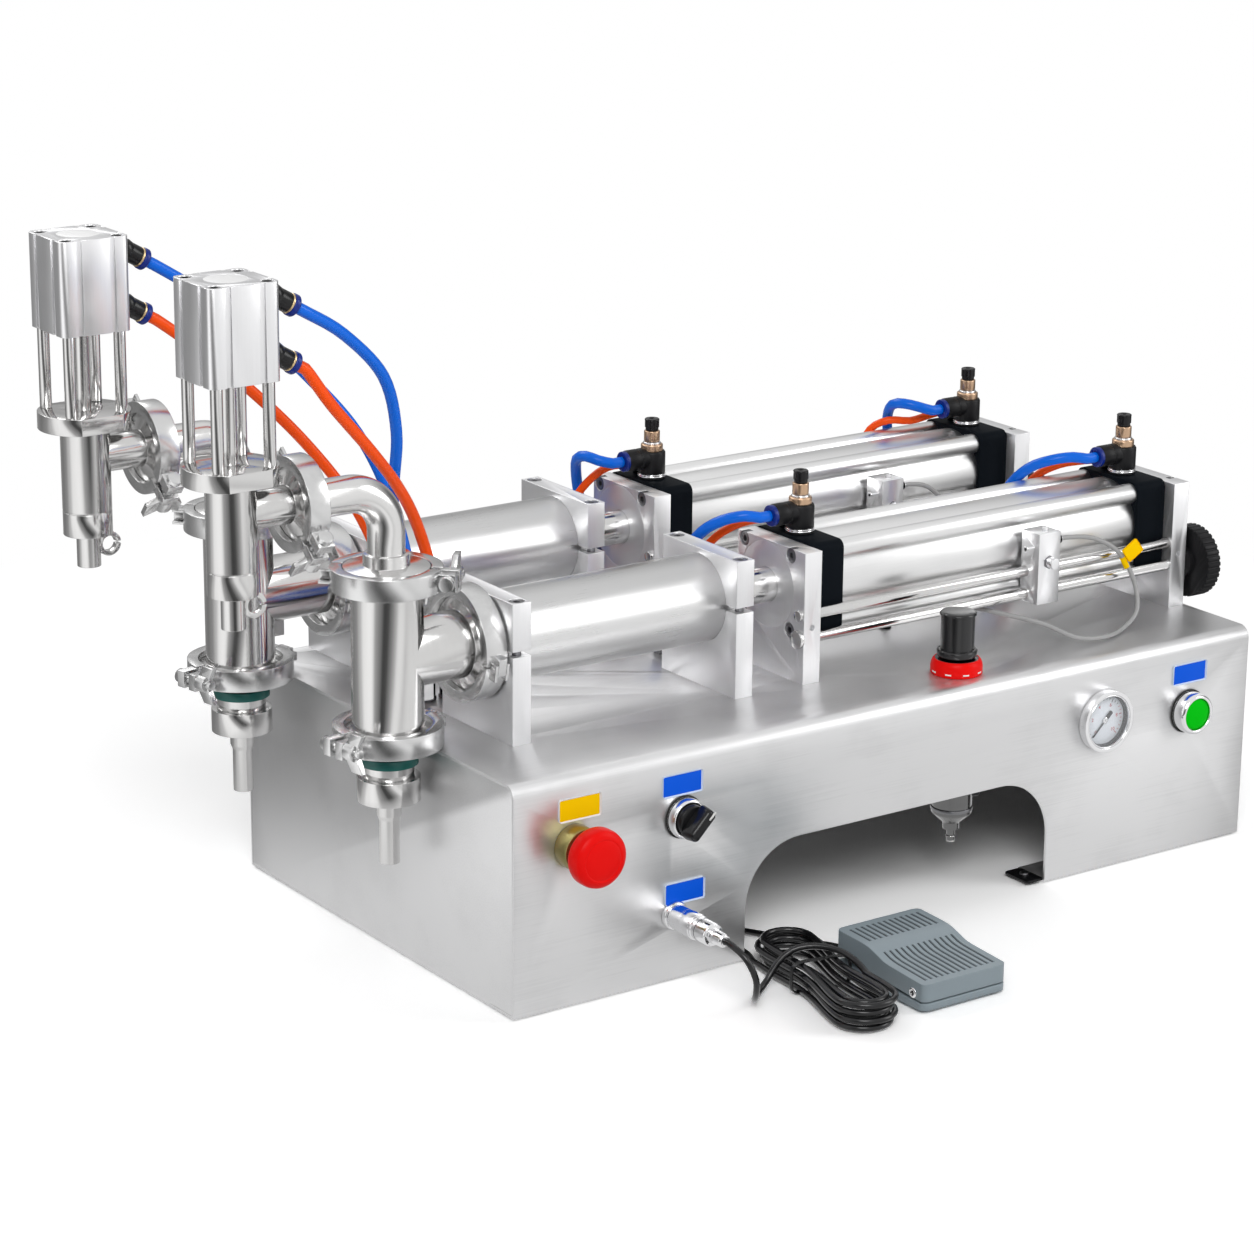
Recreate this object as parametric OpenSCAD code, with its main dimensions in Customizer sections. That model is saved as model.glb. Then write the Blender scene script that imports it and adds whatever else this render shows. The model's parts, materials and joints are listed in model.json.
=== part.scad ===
// Two-head piston filling machine: product and drive cylinders on a sheet housing, with
// check valves, lifting nozzles and a foot switch on a bundled lead.
// Millimetres. X runs along the housing, Y from the front panel to the rear, Z up from the floor.

/* [Housing] */
// Length of the housing
body_l = 646; // [640:1:760]
// Depth of the housing
body_w = 346; // [340:1:420]
// Height of the front panel
body_h = 160; // [156:1:220]
// Thickness of the sheet
sheet_t = 2; // [1.5:0.1:3]
// Outer radius of the bends along the deck
bend_r = 9; // [5:0.5:14]
// Width of the inward bottom flanges
flange_w = 29; // [24:1:40]
// Width of the leg left of the arch
arch_left = 187; // [184:1:200]
// Width of the arch
arch_w = 269; // [240:1:275]
// Height of the arch above the panel's lower edge
arch_h = 81; // [60:1:90]
// Radius of the arch's upper corners
arch_r = 45; // [20:1:58]
// Radius of the rubber pads
pad_r = 9; // [6:0.5:10]
// Height of the rubber pads
foot_h = 2; // [1:0.5:6]

/* [Filling stations] */
// Height of the cylinder axes above the deck
axis_h = 63; // [61:1:80]
// Distance from the front panel to the front cylinder axis
axis_front = 112.5; // [108:0.5:125]
// Distance between the two cylinder axes
station_space = 180; // [170:1:190]
// Filling stroke
stroke = 140; // [120:1:150]
// Thickness of the standing plates
plate_t = 14.5; // [12:0.5:18]
// Distance from a plate's front edge to the cylinder axis
plate_front = 43.5; // [43:0.5:48]
// Left face of the first clamp plate
clamp_x = 44.5; // [44:0.5:50]
// Height of the clamp plates
clamp_plate_h = 98; // [97.5:0.5:105]
// Depth of the clamp plates
clamp_plate_w = 87; // [86:0.5:95]
// Left face of the first cylinder plate
drive_x = 285.5; // [284:0.5:292]
// Length over the pair of cylinder plates
drive_span = 358.5; // [350:0.5:362]
// Height of the cylinder plates
drive_plate_h = 95; // [94:0.5:105]
// Depth of the cylinder plates
drive_plate_w = 78; // [77:0.5:90]
// Bore of the product barrel, as a radius
barrel_bore = 28.5; // [26:0.1:29]
// Wall of the product barrel
barrel_wall = 2.5; // [2:0.1:3]
// Bore of the drive cylinder, as a radius
drive_bore = 28; // [26:0.1:28.4]
// Wall of the drive cylinder
drive_wall = 3.5; // [3:0.1:3.6]
// Radius of the piston rod
rod_r = 12.5; // [9:0.1:13]
// Side of the square cylinder caps
cap_w = 67; // [66:0.1:67.2]
// Length of a cylinder cap
cap_l = 27; // [24:0.5:30]
// Radius of the guide rod and of the adjusting screw
guide_r = 4; // [3.5:0.1:4.1]
// Radius of the hand wheel
wheel_r = 27; // [22:0.5:30]

/* [Valve and nozzle heads] */
// Distance from the valve's axis to its side port face
port_reach = 59.5; // [57:0.5:66]
// How much further the rear head stands out
rear_head_shift = 10; // [0:0.5:20]
// Height of the valve body above the cylinder axis
valve_up = 54.5; // [53:0.5:60]
// Depth of the valve body below the cylinder axis
valve_down = 52; // [50.5:0.5:52.5]
// Outer radius of the valve body
valve_r = 24; // [23.5:0.1:26]
// Outer radius of the valve's side port
side_port_r = 23; // [21:0.1:23.3]
// Wall of the pipes and the valve body
pipe_wall = 2; // [1.5:0.1:2.5]
// Outer radius of the elbow pipe
elbow_r = 12.5; // [11:0.1:13]
// Bend radius of the elbow pipe
elbow_bend = 28; // [24:0.5:34]
// Distance from the valve's axis to the nozzle's axis
nozzle_reach = 113.5; // [108:0.5:125]
// Outer radius of the nozzle body
nozzle_r = 16.5; // [16:0.1:18]
// Lift of the nozzle's plunger
nozzle_lift = 12; // [8:0.5:14]
// Height of the open rods above the nozzle
nozzle_rod_h = 55; // [50:0.5:62]
// Side of the nozzle's square cylinder
nozzle_cyl_w = 50; // [48:0.5:54]
// Height of the nozzle's square cylinder
nozzle_cyl_h = 63; // [60:0.5:70]

/* [Front panel] */
// Distance of the stop button from the left edge
estop_x = 46; // [40:1:60]
// Radius of the stop button's head
estop_r = 20; // [16:0.5:22]
// Distance of the selector from the left edge
selector_x = 134.5; // [120:0.5:150]
// Distance of the foot switch socket from the left edge
socket_x = 127.5; // [120:0.5:135]
// Distance of the gauge from the right edge
gauge_in = 140.4; // [126:0.1:146]
// Radius of the gauge's bezel
gauge_r = 23; // [21:0.5:24]
// Distance of the start button from the right edge
start_in = 58; // [46:1:76]
// Distance of the regulator from the left edge
regulator_x = 395; // [360:1:410]
// Distance of the regulator from the front panel
regulator_y = 34; // [32:0.5:36]

/* [Foot switch] */
// Width of the foot switch
pedal_w = 72; // [68:0.5:78]
// Depth of the foot switch
pedal_d = 95; // [90:0.5:100]
// Height of the treadle at its hinge end
pedal_front_h = 20.5; // [20:0.5:23]
// Height of the treadle at its free end
pedal_rear_h = 30; // [28:0.5:34]
// Diameter of the foot switch's cord
cord_d = 4.5; // [4:0.1:4.8]
// Loops in each layer of the bundled cord
hank_turns = 1.5; // [0.5:1:1.5]
// Layers of the bundled cord
hank_layers = 4; // [2:2:4]

/* [Hidden] */

$fn = 48;

// Clearances
fit = 0.05; // a round piece in its bore
gap = 0.5; // pieces of different bodies
cut = 1; // overrun of a cut past a face

// Frame: the origin is under the middle of the object without its cord
reach_left = 31; // nozzle flange past the rear nozzle's axis
wheel_end = 16; // hand wheel past the last cylinder plate
inlet_out = 20; // air inlet past the rear panel
pedal_x = 266; // middle of the foot switch
pedal_back = 44; // foot switch to the front panel
deck_z = foot_h + body_h;
axis_z = deck_z + axis_h;
barrel_over = 9;
gasket_t = 1;
gasket_in = 1; // inside the ferrules' rims
barrel_x = clamp_x - barrel_over;
valve_x = barrel_x - gasket_t - port_reach;
right_end = drive_x + drive_span + wheel_end;
left_end = valve_x - rear_head_shift - nozzle_reach - reach_left;
origin_x = (left_end + right_end) / 2;
origin_y = (body_w + inlet_out - pedal_back - pedal_d) / 2;
stations = [0, 1];

function station_y(i) = axis_front + i * station_space;
function valve_at(i) = valve_x - i * rear_head_shift;
function nozzle_at(i) = valve_at(i) - nozzle_reach;

// Helpers
module placed() translate([-origin_x, -origin_y, 0]) children();
// Local Z points along X, local Y stays
module along_x(x, y, z) translate([x, y, z]) rotate([0, 90, 0]) children();
// Local Z points out of the front panel, local Y up
module on_front(x, z) translate([x, 0, z]) rotate([90, 0, 0]) children();
// Local Z points out of the rear panel, local Y down
module on_rear(x, z) translate([x, body_w, z]) rotate([-90, 0, 0]) children();
// At each station's cylinder axis, on the deck's left edge
module at_stations() for (i = stations) translate([0, station_y(i), axis_z]) children();

// Stacked discs and cones: [radius, height] or [lower radius, upper radius, height]
function rise(s, i) = i == 0 ? 0 : s[i - 1][len(s[i - 1]) - 1] + rise(s, i - 1);
module stack(s) for (i = [0:len(s) - 1])
    translate([0, 0, rise(s, i)])
        cylinder(r1 = s[i][0], r2 = s[i][len(s[i]) - 2], h = s[i][len(s[i]) - 1]);
module hole(r, from, to) translate([0, 0, from]) cylinder(r = r, h = to - from);
module pipe(r, bore, h) difference() {
    cylinder(r = r, h = h);
    hole(bore, -cut, h + cut);
}
module centred_box(w, d, h) translate([-w / 2, -d / 2, 0]) cube([w, d, h]);
module round_rect(w, h, r) {
    square([w - 2 * r, h], center = true);
    square([w, h - 2 * r], center = true);
    for (i = [-1, 1], j = [-1, 1])
        translate([i * (w / 2 - r), j * (h / 2 - r)]) circle(r);
}

// Folded sheet cover
module folded(w, h, r) {
    square([w, h - r]);
    translate([r, 0]) square([w - 2 * r, h]);
    for (y = [r, w - r]) translate([y, h - r]) circle(r);
}
module arch_outline() {
    translate([arch_left, -cut]) square([arch_w, arch_h - arch_r + cut]);
    translate([arch_left + arch_r, -cut]) square([arch_w - 2 * arch_r, arch_h + cut]);
    for (x = [arch_r, arch_w - arch_r])
        translate([arch_left + x, arch_h - arch_r]) circle(arch_r);
}
device_r = 11; // threaded body of a panel device
inlet_r = 9; // threaded body of the air inlet
mains_w = 46; // cut-out for the mains inlet
mains_h = 26;
neck_r = 15.5; // regulator's neck through the deck
bulkhead_r = 5; // threaded body of a deck bulkhead
gauge_case_r = 20;
socket_body_r = 8;
flange_screw_r = 2.5;
flange_screw_in = 18; // from the arch, and from the panel
estop_drop = 48; // below the deck
selector_drop = 46;
gauge_drop = 46.3;
start_drop = 54.5;
socket_up = 46; // above the panel's lower edge
air_inlet_in = 86; // from the right end
air_inlet_up = 60;
mains_in = 112; // from the left end
mains_up = 38;
estop_z = deck_z - estop_drop;
selector_z = deck_z - selector_drop;
gauge_z = deck_z - gauge_drop;
start_z = deck_z - start_drop;
socket_z = foot_h + socket_up;
air_inlet_x = body_l - air_inlet_in;
start_x = body_l - start_in;
gauge_x = body_l - gauge_in;
panel_holes = [
    [estop_x, estop_z, device_r], [selector_x, selector_z, device_r],
    [start_x, start_z, device_r], [gauge_x, gauge_z, gauge_case_r],
    [socket_x, socket_z, socket_body_r],
];
module cover_shell() color("gainsboro") placed() difference() {
    translate([0, 0, foot_h]) rotate([90, 0, 90]) linear_extrude(body_l) {
        difference() {
            folded(body_w, body_h, bend_r);
            translate([sheet_t, -cut])
                folded(body_w - 2 * sheet_t, body_h - sheet_t + cut, bend_r - sheet_t);
        }
        square([flange_w, sheet_t]);
        translate([body_w - flange_w, 0]) square([flange_w, sheet_t]);
    }
    translate([0, body_w + cut, foot_h]) rotate([90, 0, 0])
        linear_extrude(body_w + 2 * cut) arch_outline();
    for (h = panel_holes) on_front(h[0], h[1]) hole(h[2] + fit, -sheet_t - cut, cut);
    on_rear(air_inlet_x, foot_h + air_inlet_up) hole(inlet_r + fit, -sheet_t - cut, cut);
    on_rear(mains_in, foot_h + mains_up) translate([0, 0, -sheet_t - cut])
        linear_extrude(sheet_t + 2 * cut) square([mains_w, mains_h], center = true);
    translate([regulator_x, regulator_y, deck_z]) hole(neck_r + fit, -sheet_t - cut, cut);
    for (p = bulkheads) translate([p[0], p[1], deck_z])
        hole(bulkhead_r + fit, -sheet_t - cut, cut);
    for (p = plate_screws) translate([p[0], p[1], deck_z])
        hole(deck_screw_r + fit, -sheet_t - cut, cut);
    for (x = [arch_left - flange_screw_in, arch_left + arch_w + flange_screw_in],
         y = [flange_screw_in, body_w - flange_screw_in])
        translate([x, y, foot_h]) hole(flange_screw_r, -cut, sheet_t + cut);
}

end_round = 0.5; // play at the folded corners
end_flange = 20;
module end_panel() difference() {
    translate([0, 0, foot_h]) rotate([90, 0, 90]) linear_extrude(sheet_t)
        translate([sheet_t, 0])
            folded(body_w - 2 * sheet_t, body_h - sheet_t, bend_r - sheet_t + end_round);
    for (y = [0, body_w - flange_w])
        translate([-cut, y, foot_h - cut]) cube([sheet_t + 2 * cut, flange_w, sheet_t + cut]);
}
module end_lip() translate([0, flange_w, foot_h])
    cube([end_flange, body_w - 2 * flange_w, sheet_t]);
module left_end_panel() color("silver") placed() {
    end_panel();
    end_lip();
}
module right_end_panel() color("silver") placed()
    translate([body_l, 0, 0]) mirror([1, 0, 0]) {
        end_panel();
        end_lip();
    }

pad_in_x = 20;
pad_in_y = 15;
pedal_pad_r = 5;
pedal_pad_in = 9;
pedal_y = -pedal_back - pedal_d;
module rubber_feet() color("black") placed() {
    for (x = [pad_in_x, body_l - pad_in_x], y = [pad_in_y, body_w - pad_in_y])
        translate([x, y, 0]) cylinder(r = pad_r, h = foot_h);
    for (x = [-1, 1], y = [pedal_y + pedal_pad_in, pedal_y + pedal_d - pedal_pad_in])
        translate([pedal_x + x * (pedal_w / 2 - pedal_pad_in), y, 0])
            cylinder(r = pedal_pad_r, h = foot_h);
}

// Stop button
estop_collar_r = 15;
estop_collar_h = 14;
estop_neck_r = 9;
estop_travel = 5;
estop_head_h = 16;
estop_crown = 3;
estop_edge = 4;
estop_play = 1;
nut_r = 14;
nut_h = 4;
block_w = 30; // contact block behind a button
block_h = 40;
block_d = 26;
device_in = 12; // depth of a button's bore behind the panel
module device_back(r) {
    translate([0, 0, -device_in]) cylinder(r = r, h = device_in);
    translate([0, 0, -sheet_t - nut_h]) cylinder(r = nut_r, h = nut_h);
    translate([0, 0, -device_in - block_d]) centred_box(block_w, block_h, block_d);
}
module estop_base() color("darkgoldenrod") placed() on_front(estop_x, estop_z) difference() {
    union() {
        cylinder(r = estop_collar_r, h = estop_collar_h);
        device_back(device_r);
    }
    hole(estop_neck_r + fit, -device_in, estop_collar_h + cut);
}
module estop_head() color("red") placed() on_front(estop_x, estop_z) {
    translate([0, 0, estop_travel + estop_play - device_in])
        cylinder(r = estop_neck_r, h = device_in + estop_collar_h);
    translate([0, 0, estop_collar_h + estop_travel + estop_play]) stack([
        [estop_r - estop_edge, estop_r, estop_edge],
        [estop_r, estop_head_h - estop_edge - estop_crown],
        [estop_r, estop_r - estop_crown, estop_crown],
    ]);
}

// Selector and start button
selector_r = 14;
selector_h = 8;
selector_floor = 2;
knob_disc_h = 10;
knob_bar_l = 26;
knob_bar_w = 10;
knob_bar_h = 12;
knob_rest = 45; // degrees up from the right
start_r = 15.5;
start_h = 12;
start_cap_r = 11.5;
start_face = 11;
start_stem_r = 8;
start_travel = 4;
start_cap_h = 5;
module switch_bezels() color("silver") placed() {
    on_front(selector_x, selector_z) difference() {
        union() {
            cylinder(r = selector_r, h = selector_h);
            device_back(device_r);
        }
        hole(device_r + fit, selector_floor, selector_h + cut);
    }
    on_front(start_x, start_z) difference() {
        union() {
            cylinder(r = start_r, h = start_h);
            device_back(device_r);
        }
        hole(start_cap_r + fit, start_face - start_cap_h - start_travel - gap, start_h + cut);
        hole(start_stem_r + fit, -device_in, start_h);
    }
}
module selector_knob() color("dimgray") placed() on_front(selector_x, selector_z)
    translate([0, 0, selector_floor + fit]) {
        cylinder(r = device_r, h = knob_disc_h);
        translate([0, 0, knob_disc_h]) rotate([0, 0, knob_rest])
            centred_box(knob_bar_l, knob_bar_w, knob_bar_h);
    }
module start_button() color("limegreen") placed() on_front(start_x, start_z) {
    hole(start_cap_r, start_face - start_cap_h, start_face);
    hole(start_stem_r, start_travel + gap - device_in, start_face - start_cap_h);
}

// Pressure gauge
gauge_h = 7;
gauge_lip = 3;
gauge_window_r = gauge_r - gauge_lip;
gauge_dial = 1;
gauge_case_d = 25;
gauge_pin_r = 0.8;
gauge_pin_h = 2.6;
hand_hub_r = 2.4;
hand_lift = 0.8;
hand_t = 0.9;
hand_l = 14;
hand_tail = 6;
hand_w = 1.2;
hand_rest = 225; // degrees, towards the lower left
lens_t = 1.4;
lens_in = 0.4;
lens_lip = 1;
module gauge_case() color("lightgray") placed() on_front(gauge_x, gauge_z) {
    difference() {
        union() {
            cylinder(r = gauge_r, h = gauge_h);
            hole(gauge_case_r, -gauge_case_d, 0);
        }
        hole(gauge_window_r - lens_lip, gauge_dial, gauge_h);
        hole(gauge_window_r, gauge_h - lens_t - lens_in, gauge_h + cut);
    }
    hole(gauge_pin_r, 0, gauge_dial + gauge_pin_h);
}
module gauge_pointer() color("black") placed() on_front(gauge_x, gauge_z)
    translate([0, 0, gauge_dial + hand_lift]) difference() {
        union() {
            cylinder(r = hand_hub_r, h = hand_t);
            rotate([0, 0, hand_rest]) translate([-hand_tail, -hand_w / 2, 0])
                cube([hand_tail + hand_l, hand_w, hand_t]);
        }
        hole(gauge_pin_r + fit, -cut, hand_t + cut);
    }
module gauge_lens() color("lightcyan") placed() on_front(gauge_x, gauge_z)
    translate([0, 0, gauge_h - lens_t - lens_in]) cylinder(r = gauge_window_r - fit, h = lens_t);

// Pressure regulator
ring_r = 18.5;
ring_h = 11;
reg_knob_r = 15;
reg_knob_h = 32.7;
reg_gap = 1.3;
flute_r = 1.2;
flutes = 20;
reg_spindle_r = 4;
reg_spindle_h = 12;
reg_body_r = 20;
reg_body_h = 60;
reg_bowl_r = 14.5;
reg_bowl_h = 42;
reg_taper_h = 8;
reg_drain_r = 6;
reg_drain_h = 5;
reg_nipple_r = 3;
reg_nipple_h = 10;
module at_regulator() placed() translate([regulator_x, regulator_y, deck_z]) children();
module regulator_body() color("silver") at_regulator() {
    translate([0, 0, -sheet_t]) stack([
        [neck_r, sheet_t + ring_h], [reg_spindle_r, reg_gap + reg_spindle_h],
    ]);
    translate([0, 0, -sheet_t]) mirror([0, 0, 1]) stack([
        [reg_body_r, reg_body_h], [reg_bowl_r, reg_bowl_h],
        [reg_bowl_r, reg_drain_r, reg_taper_h], [reg_drain_r, reg_drain_h],
        [reg_nipple_r, reg_nipple_h],
    ]);
}
module regulator_ring() color("red") at_regulator() pipe(ring_r, neck_r + fit, ring_h);
module regulator_knob() color("dimgray") at_regulator() translate([0, 0, ring_h + reg_gap])
    difference() {
        cylinder(r = reg_knob_r, h = reg_knob_h);
        hole(reg_spindle_r + fit, -cut, reg_spindle_h + gap);
        for (i = [0:flutes - 1]) rotate([0, 0, i * 360 / flutes])
            translate([reg_knob_r, 0, 0]) hole(flute_r, reg_spindle_h / 2, reg_knob_h + cut);
    }

// Foot switch socket and plug
socket_flange_r = 10;
socket_flange_h = 4;
socket_thread_r = 7.5;
socket_thread_h = 8;
socket_body_h = 22;
plug_sleeve_r = 9;
plug_sleeve_h = 26;
plug_shell_r = 8;
plug_shell_h = 15;
plug_tail_r = 5;
plug_tail_h = 13;
plug_end = socket_flange_h + plug_sleeve_h + plug_shell_h + plug_tail_h;
module pedal_socket() color("silver") placed() on_front(socket_x, socket_z) {
    stack([[socket_flange_r, socket_flange_h], [socket_thread_r, socket_thread_h]]);
    hole(socket_body_r, -socket_body_h, 0);
    hole(nut_r, -sheet_t - nut_h, -sheet_t);
}
module pedal_plug() color("silver") placed() on_front(socket_x, socket_z)
    translate([0, 0, socket_flange_h]) difference() {
        stack([
            [plug_sleeve_r, plug_sleeve_h], [plug_shell_r, plug_shell_h],
            [plug_tail_r, plug_tail_h],
        ]);
        hole(socket_thread_r + fit, -cut, socket_thread_h + gap);
    }

// Valves, control box and inlets
manifold_in = 118;
manifold_y = 190;
manifold_l = 100;
manifold_w = 66;
manifold_h = 12;
solenoid_w = 24;
solenoid_l = 56;
solenoid_h = 38;
solenoids = 3;
module solenoid_valves() color("dimgray") placed()
    translate([body_l - manifold_in, manifold_y, deck_z - sheet_t]) {
        translate([0, 0, -manifold_h]) cube([manifold_l, manifold_w, manifold_h]);
        for (i = [0:solenoids - 1])
            translate([
                (i + 1) * manifold_l / (solenoids + 1) - solenoid_w / 2,
                (manifold_w - solenoid_l) / 2, -manifold_h - solenoid_h,
            ])
                cube([solenoid_w, solenoid_l, solenoid_h]);
    }
box_x = 60;
box_l = 110;
box_d = 60;
box_h = 68;
box_below = 12; // below the deck
box_round = 4;
module control_box() color("lightgray") placed()
    translate([box_x + box_l / 2, body_w - sheet_t, deck_z - box_below - box_h / 2])
        rotate([90, 0, 0]) linear_extrude(box_d) round_rect(box_l, box_h, box_round);
inlet_flange_r = 11;
inlet_flange_h = 4;
inlet_bore_r = 4;
inlet_bore_d = 18;
inlet_in = 24;
mains_plate_w = 58;
mains_plate_h = 34;
mains_plate_t = 3;
mains_d = 26;
mains_recess_w = 26;
mains_recess_h = 16;
mains_recess_d = 17;
mains_pin_w = 4;
mains_pin_t = 2;
mains_pin_l = 9;
mains_pin_pitch = 7;
module rear_inlets() color("gray") placed() {
    on_rear(air_inlet_x, foot_h + air_inlet_up) difference() {
        union() {
            hole(inlet_r, -inlet_in, inlet_out);
            cylinder(r = inlet_flange_r, h = inlet_flange_h);
            hole(nut_r, -sheet_t - nut_h, -sheet_t);
        }
        hole(inlet_bore_r, inlet_out - inlet_bore_d, inlet_out + cut);
    }
    on_rear(mains_in, foot_h + mains_up) {
        difference() {
            union() {
                centred_box(mains_plate_w, mains_plate_h, mains_plate_t);
                translate([0, 0, -mains_d])
                    centred_box(mains_w - gap, mains_h - gap, mains_d);
            }
            translate([0, 0, mains_plate_t - mains_recess_d])
                centred_box(mains_recess_w, mains_recess_h, mains_recess_d + cut);
        }
        for (i = [-1:1])
            translate([i * mains_pin_pitch, 0, mains_plate_t - mains_recess_d])
                centred_box(mains_pin_t, mains_pin_w, mains_pin_l);
    }
}

// Foot switch
pedal_floor_t = 5;
pedal_corner = 6;
treadle_in = 0.5; // treadle inside the floor's edge
treadle_wall = 2.5;
skirt_front = 8; // height of the skirt's edge at the hinge end
skirt_rear = 13.5;
hinge_in = 11;
hinge_z = 12.5;
hinge_r = 2;
hinge_end = 0.5;
post_t = 6;
post_w = 10;
post_top = 4; // above the hinge
cord_in_x = 24; // cord entry left of the middle
cord_in_z = 10.4;
grommet_r = 3.7;
notch_w = 10;
notch_z = 21;
rear_wall_t = 3;
rear_wall_h = 6;
rear_wall_gap = 1;
micro_w = 20;
micro_l = 30;
micro_h = 10;
micro_y = 62;
micro_button_r = 2.5;
micro_button_h = 2;
treadle_w = pedal_w - 2 * treadle_in;
pedal_floor_z = foot_h + pedal_floor_t;
pedal_end = pedal_y + pedal_d;
hinge_y = pedal_y + hinge_in;
cord_in = pedal_x - cord_in_x;
module at_hinge(x) translate([x, hinge_y, hinge_z]) rotate([0, 90, 0]) children();
module pedal_plan(inset) translate([pedal_x, pedal_y + pedal_d / 2])
    round_rect(pedal_w - 2 * inset, pedal_d - 2 * inset, pedal_corner - inset);
module pedal_side(inset, low) translate([pedal_x - pedal_w / 2 - cut, 0, 0]) rotate([90, 0, 90])
    linear_extrude(pedal_w + 2 * cut) polygon([
        [pedal_y - cut, skirt_front - low], [pedal_end + cut, skirt_rear - low],
        [pedal_end + cut, pedal_rear_h - inset], [pedal_y - cut, pedal_front_h - inset],
    ]);
module pedal_base() color("slategray") placed() {
    translate([0, 0, foot_h]) linear_extrude(pedal_floor_t) pedal_plan(0);
    difference() {
        for (x = [-1, 1])
            translate([
                pedal_x + x * (treadle_w / 2 - treadle_wall - gap - post_t / 2),
                hinge_y, pedal_floor_z,
            ])
                centred_box(post_t, post_w, hinge_z + post_top - pedal_floor_z);
        at_hinge(pedal_x - pedal_w / 2) hole(hinge_r + fit, 0, pedal_w);
    }
    difference() {
        union() {
            translate([
                pedal_x - pedal_w / 2 + pedal_corner,
                pedal_end - treadle_wall - treadle_in - rear_wall_gap - rear_wall_t, pedal_floor_z,
            ])
                cube([pedal_w - 2 * pedal_corner, rear_wall_t, rear_wall_h]);
            translate([cord_in, pedal_end, cord_in_z]) rotate([90, 0, 0])
                hole(grommet_r, 0, pedal_corner);
        }
        translate([cord_in, pedal_end, cord_in_z]) rotate([90, 0, 0])
            hole(cord_d / 2 + fit, -cut, cord_d / 2);
    }
    translate([pedal_x, pedal_y + micro_y, pedal_floor_z]) {
        centred_box(micro_w, micro_l, micro_h);
        translate([0, 0, micro_h]) cylinder(r = micro_button_r, h = micro_button_h);
    }
}
module pedal_treadle() color("lightslategray") placed() difference() {
    intersection() {
        linear_extrude(pedal_rear_h + cut) pedal_plan(treadle_in);
        pedal_side(0, 0);
    }
    intersection() {
        linear_extrude(pedal_rear_h) pedal_plan(treadle_in + treadle_wall);
        pedal_side(treadle_wall, skirt_rear);
    }
    at_hinge(pedal_x - pedal_w / 2) hole(hinge_r + fit, -cut, pedal_w + cut);
    translate([cord_in, pedal_end, 0]) centred_box(notch_w, 4 * treadle_wall, notch_z);
}
module pedal_pivot() color("silver") placed()
    at_hinge(pedal_x - treadle_w / 2 + hinge_end)
        cylinder(r = hinge_r, h = treadle_w - 2 * hinge_end);

// Swept tubes
function unit(v) = v / norm(v);
function carried(n, t) = unit(n - (n * t) * t);
function normals(ts, n, i = 0) =
    i == len(ts) ? [] : let (m = carried(n, ts[i])) concat([m], normals(ts, m, i + 1));
function tangents(p) =
    [for (i = [0:len(p) - 1]) unit(p[min(i + 1, len(p) - 1)] - p[max(i - 1, 0)])];
function eased(a, b, c, d, t) =
    (2 * b + (c - a) * t + (2 * a - 5 * b + 4 * c - d) * t * t
        + (3 * b - a - 3 * c + d) * t * t * t) / 2;
// A smooth line through the points, straight between the first two and the last two
function route(p, spacing) = concat(
    [p[0]],
    [for (i = [1:len(p) - 3])
        let (steps = max(1, ceil(norm(p[i + 1] - p[i]) / spacing)))
        for (k = [0:steps - 1]) eased(p[i - 1], p[i], p[i + 1], p[i + 2], k / steps)],
    [p[len(p) - 2], p[len(p) - 1]]
);
module tube(p, r, sides) {
    ts = tangents(p);
    ns = normals(ts, abs(ts[0][2]) < 0.8 ? [0, 0, 1] : [0, 1, 0]);
    last = (len(p) - 1) * sides;
    polyhedron(
        points = [for (i = [0:len(p) - 1], k = [0:sides - 1])
            let (a = k * 360 / sides)
            p[i] + r * (cos(a) * ns[i] + sin(a) * cross(ts[i], ns[i]))],
        faces = concat(
            [for (i = [0:len(p) - 2], k = [0:sides - 1])
                let (a = i * sides + k, b = i * sides + (k + 1) % sides)
                each [[a, a + sides, b + sides], [a, b + sides, b]]],
            [for (k = [1:sides - 2]) [0, k, k + 1]],
            [for (k = [1:sides - 2]) [last, last + k + 1, last + k]]
        )
    );
}

// Bundled cord: loops laid in layers, spiralling in and out, drawn in at the waist
hank_x = 199;
hank_y = -74;
hank_lean = -10; // degrees
hank_run = 105; // between the centres of the folds
hank_fold_r = 13.5; // of the innermost loop
hank_step = 6.2; // between neighbouring loops
hank_waist = 5; // how far a run is drawn in
hank_space = 0.9; // between layers
hank_start = 0.2; // turns
hank_stop = 0.25; // turns short of the last loop
hank_rings = 24; // in a loop
tie_t = 1.2;
tie_w = 4;
tie_y = 8;
tie_play = 0.3;
hank_low = tie_t + tie_play + cord_d / 2;
hank_rise = cord_d + hank_space;
hank_total = hank_turns * hank_layers;
hank_span = hank_turns * hank_step;
function hank_layer(p) = min(floor(p / hank_turns), hank_layers - 1);
function hank_w(p) =
    let (l = hank_layer(p), q = p / hank_turns - l)
    hank_fold_r + hank_span * (l % 2 == 0 ? 1 - q : q);
function smooth(t) = t * t * (3 - 2 * t);
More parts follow.
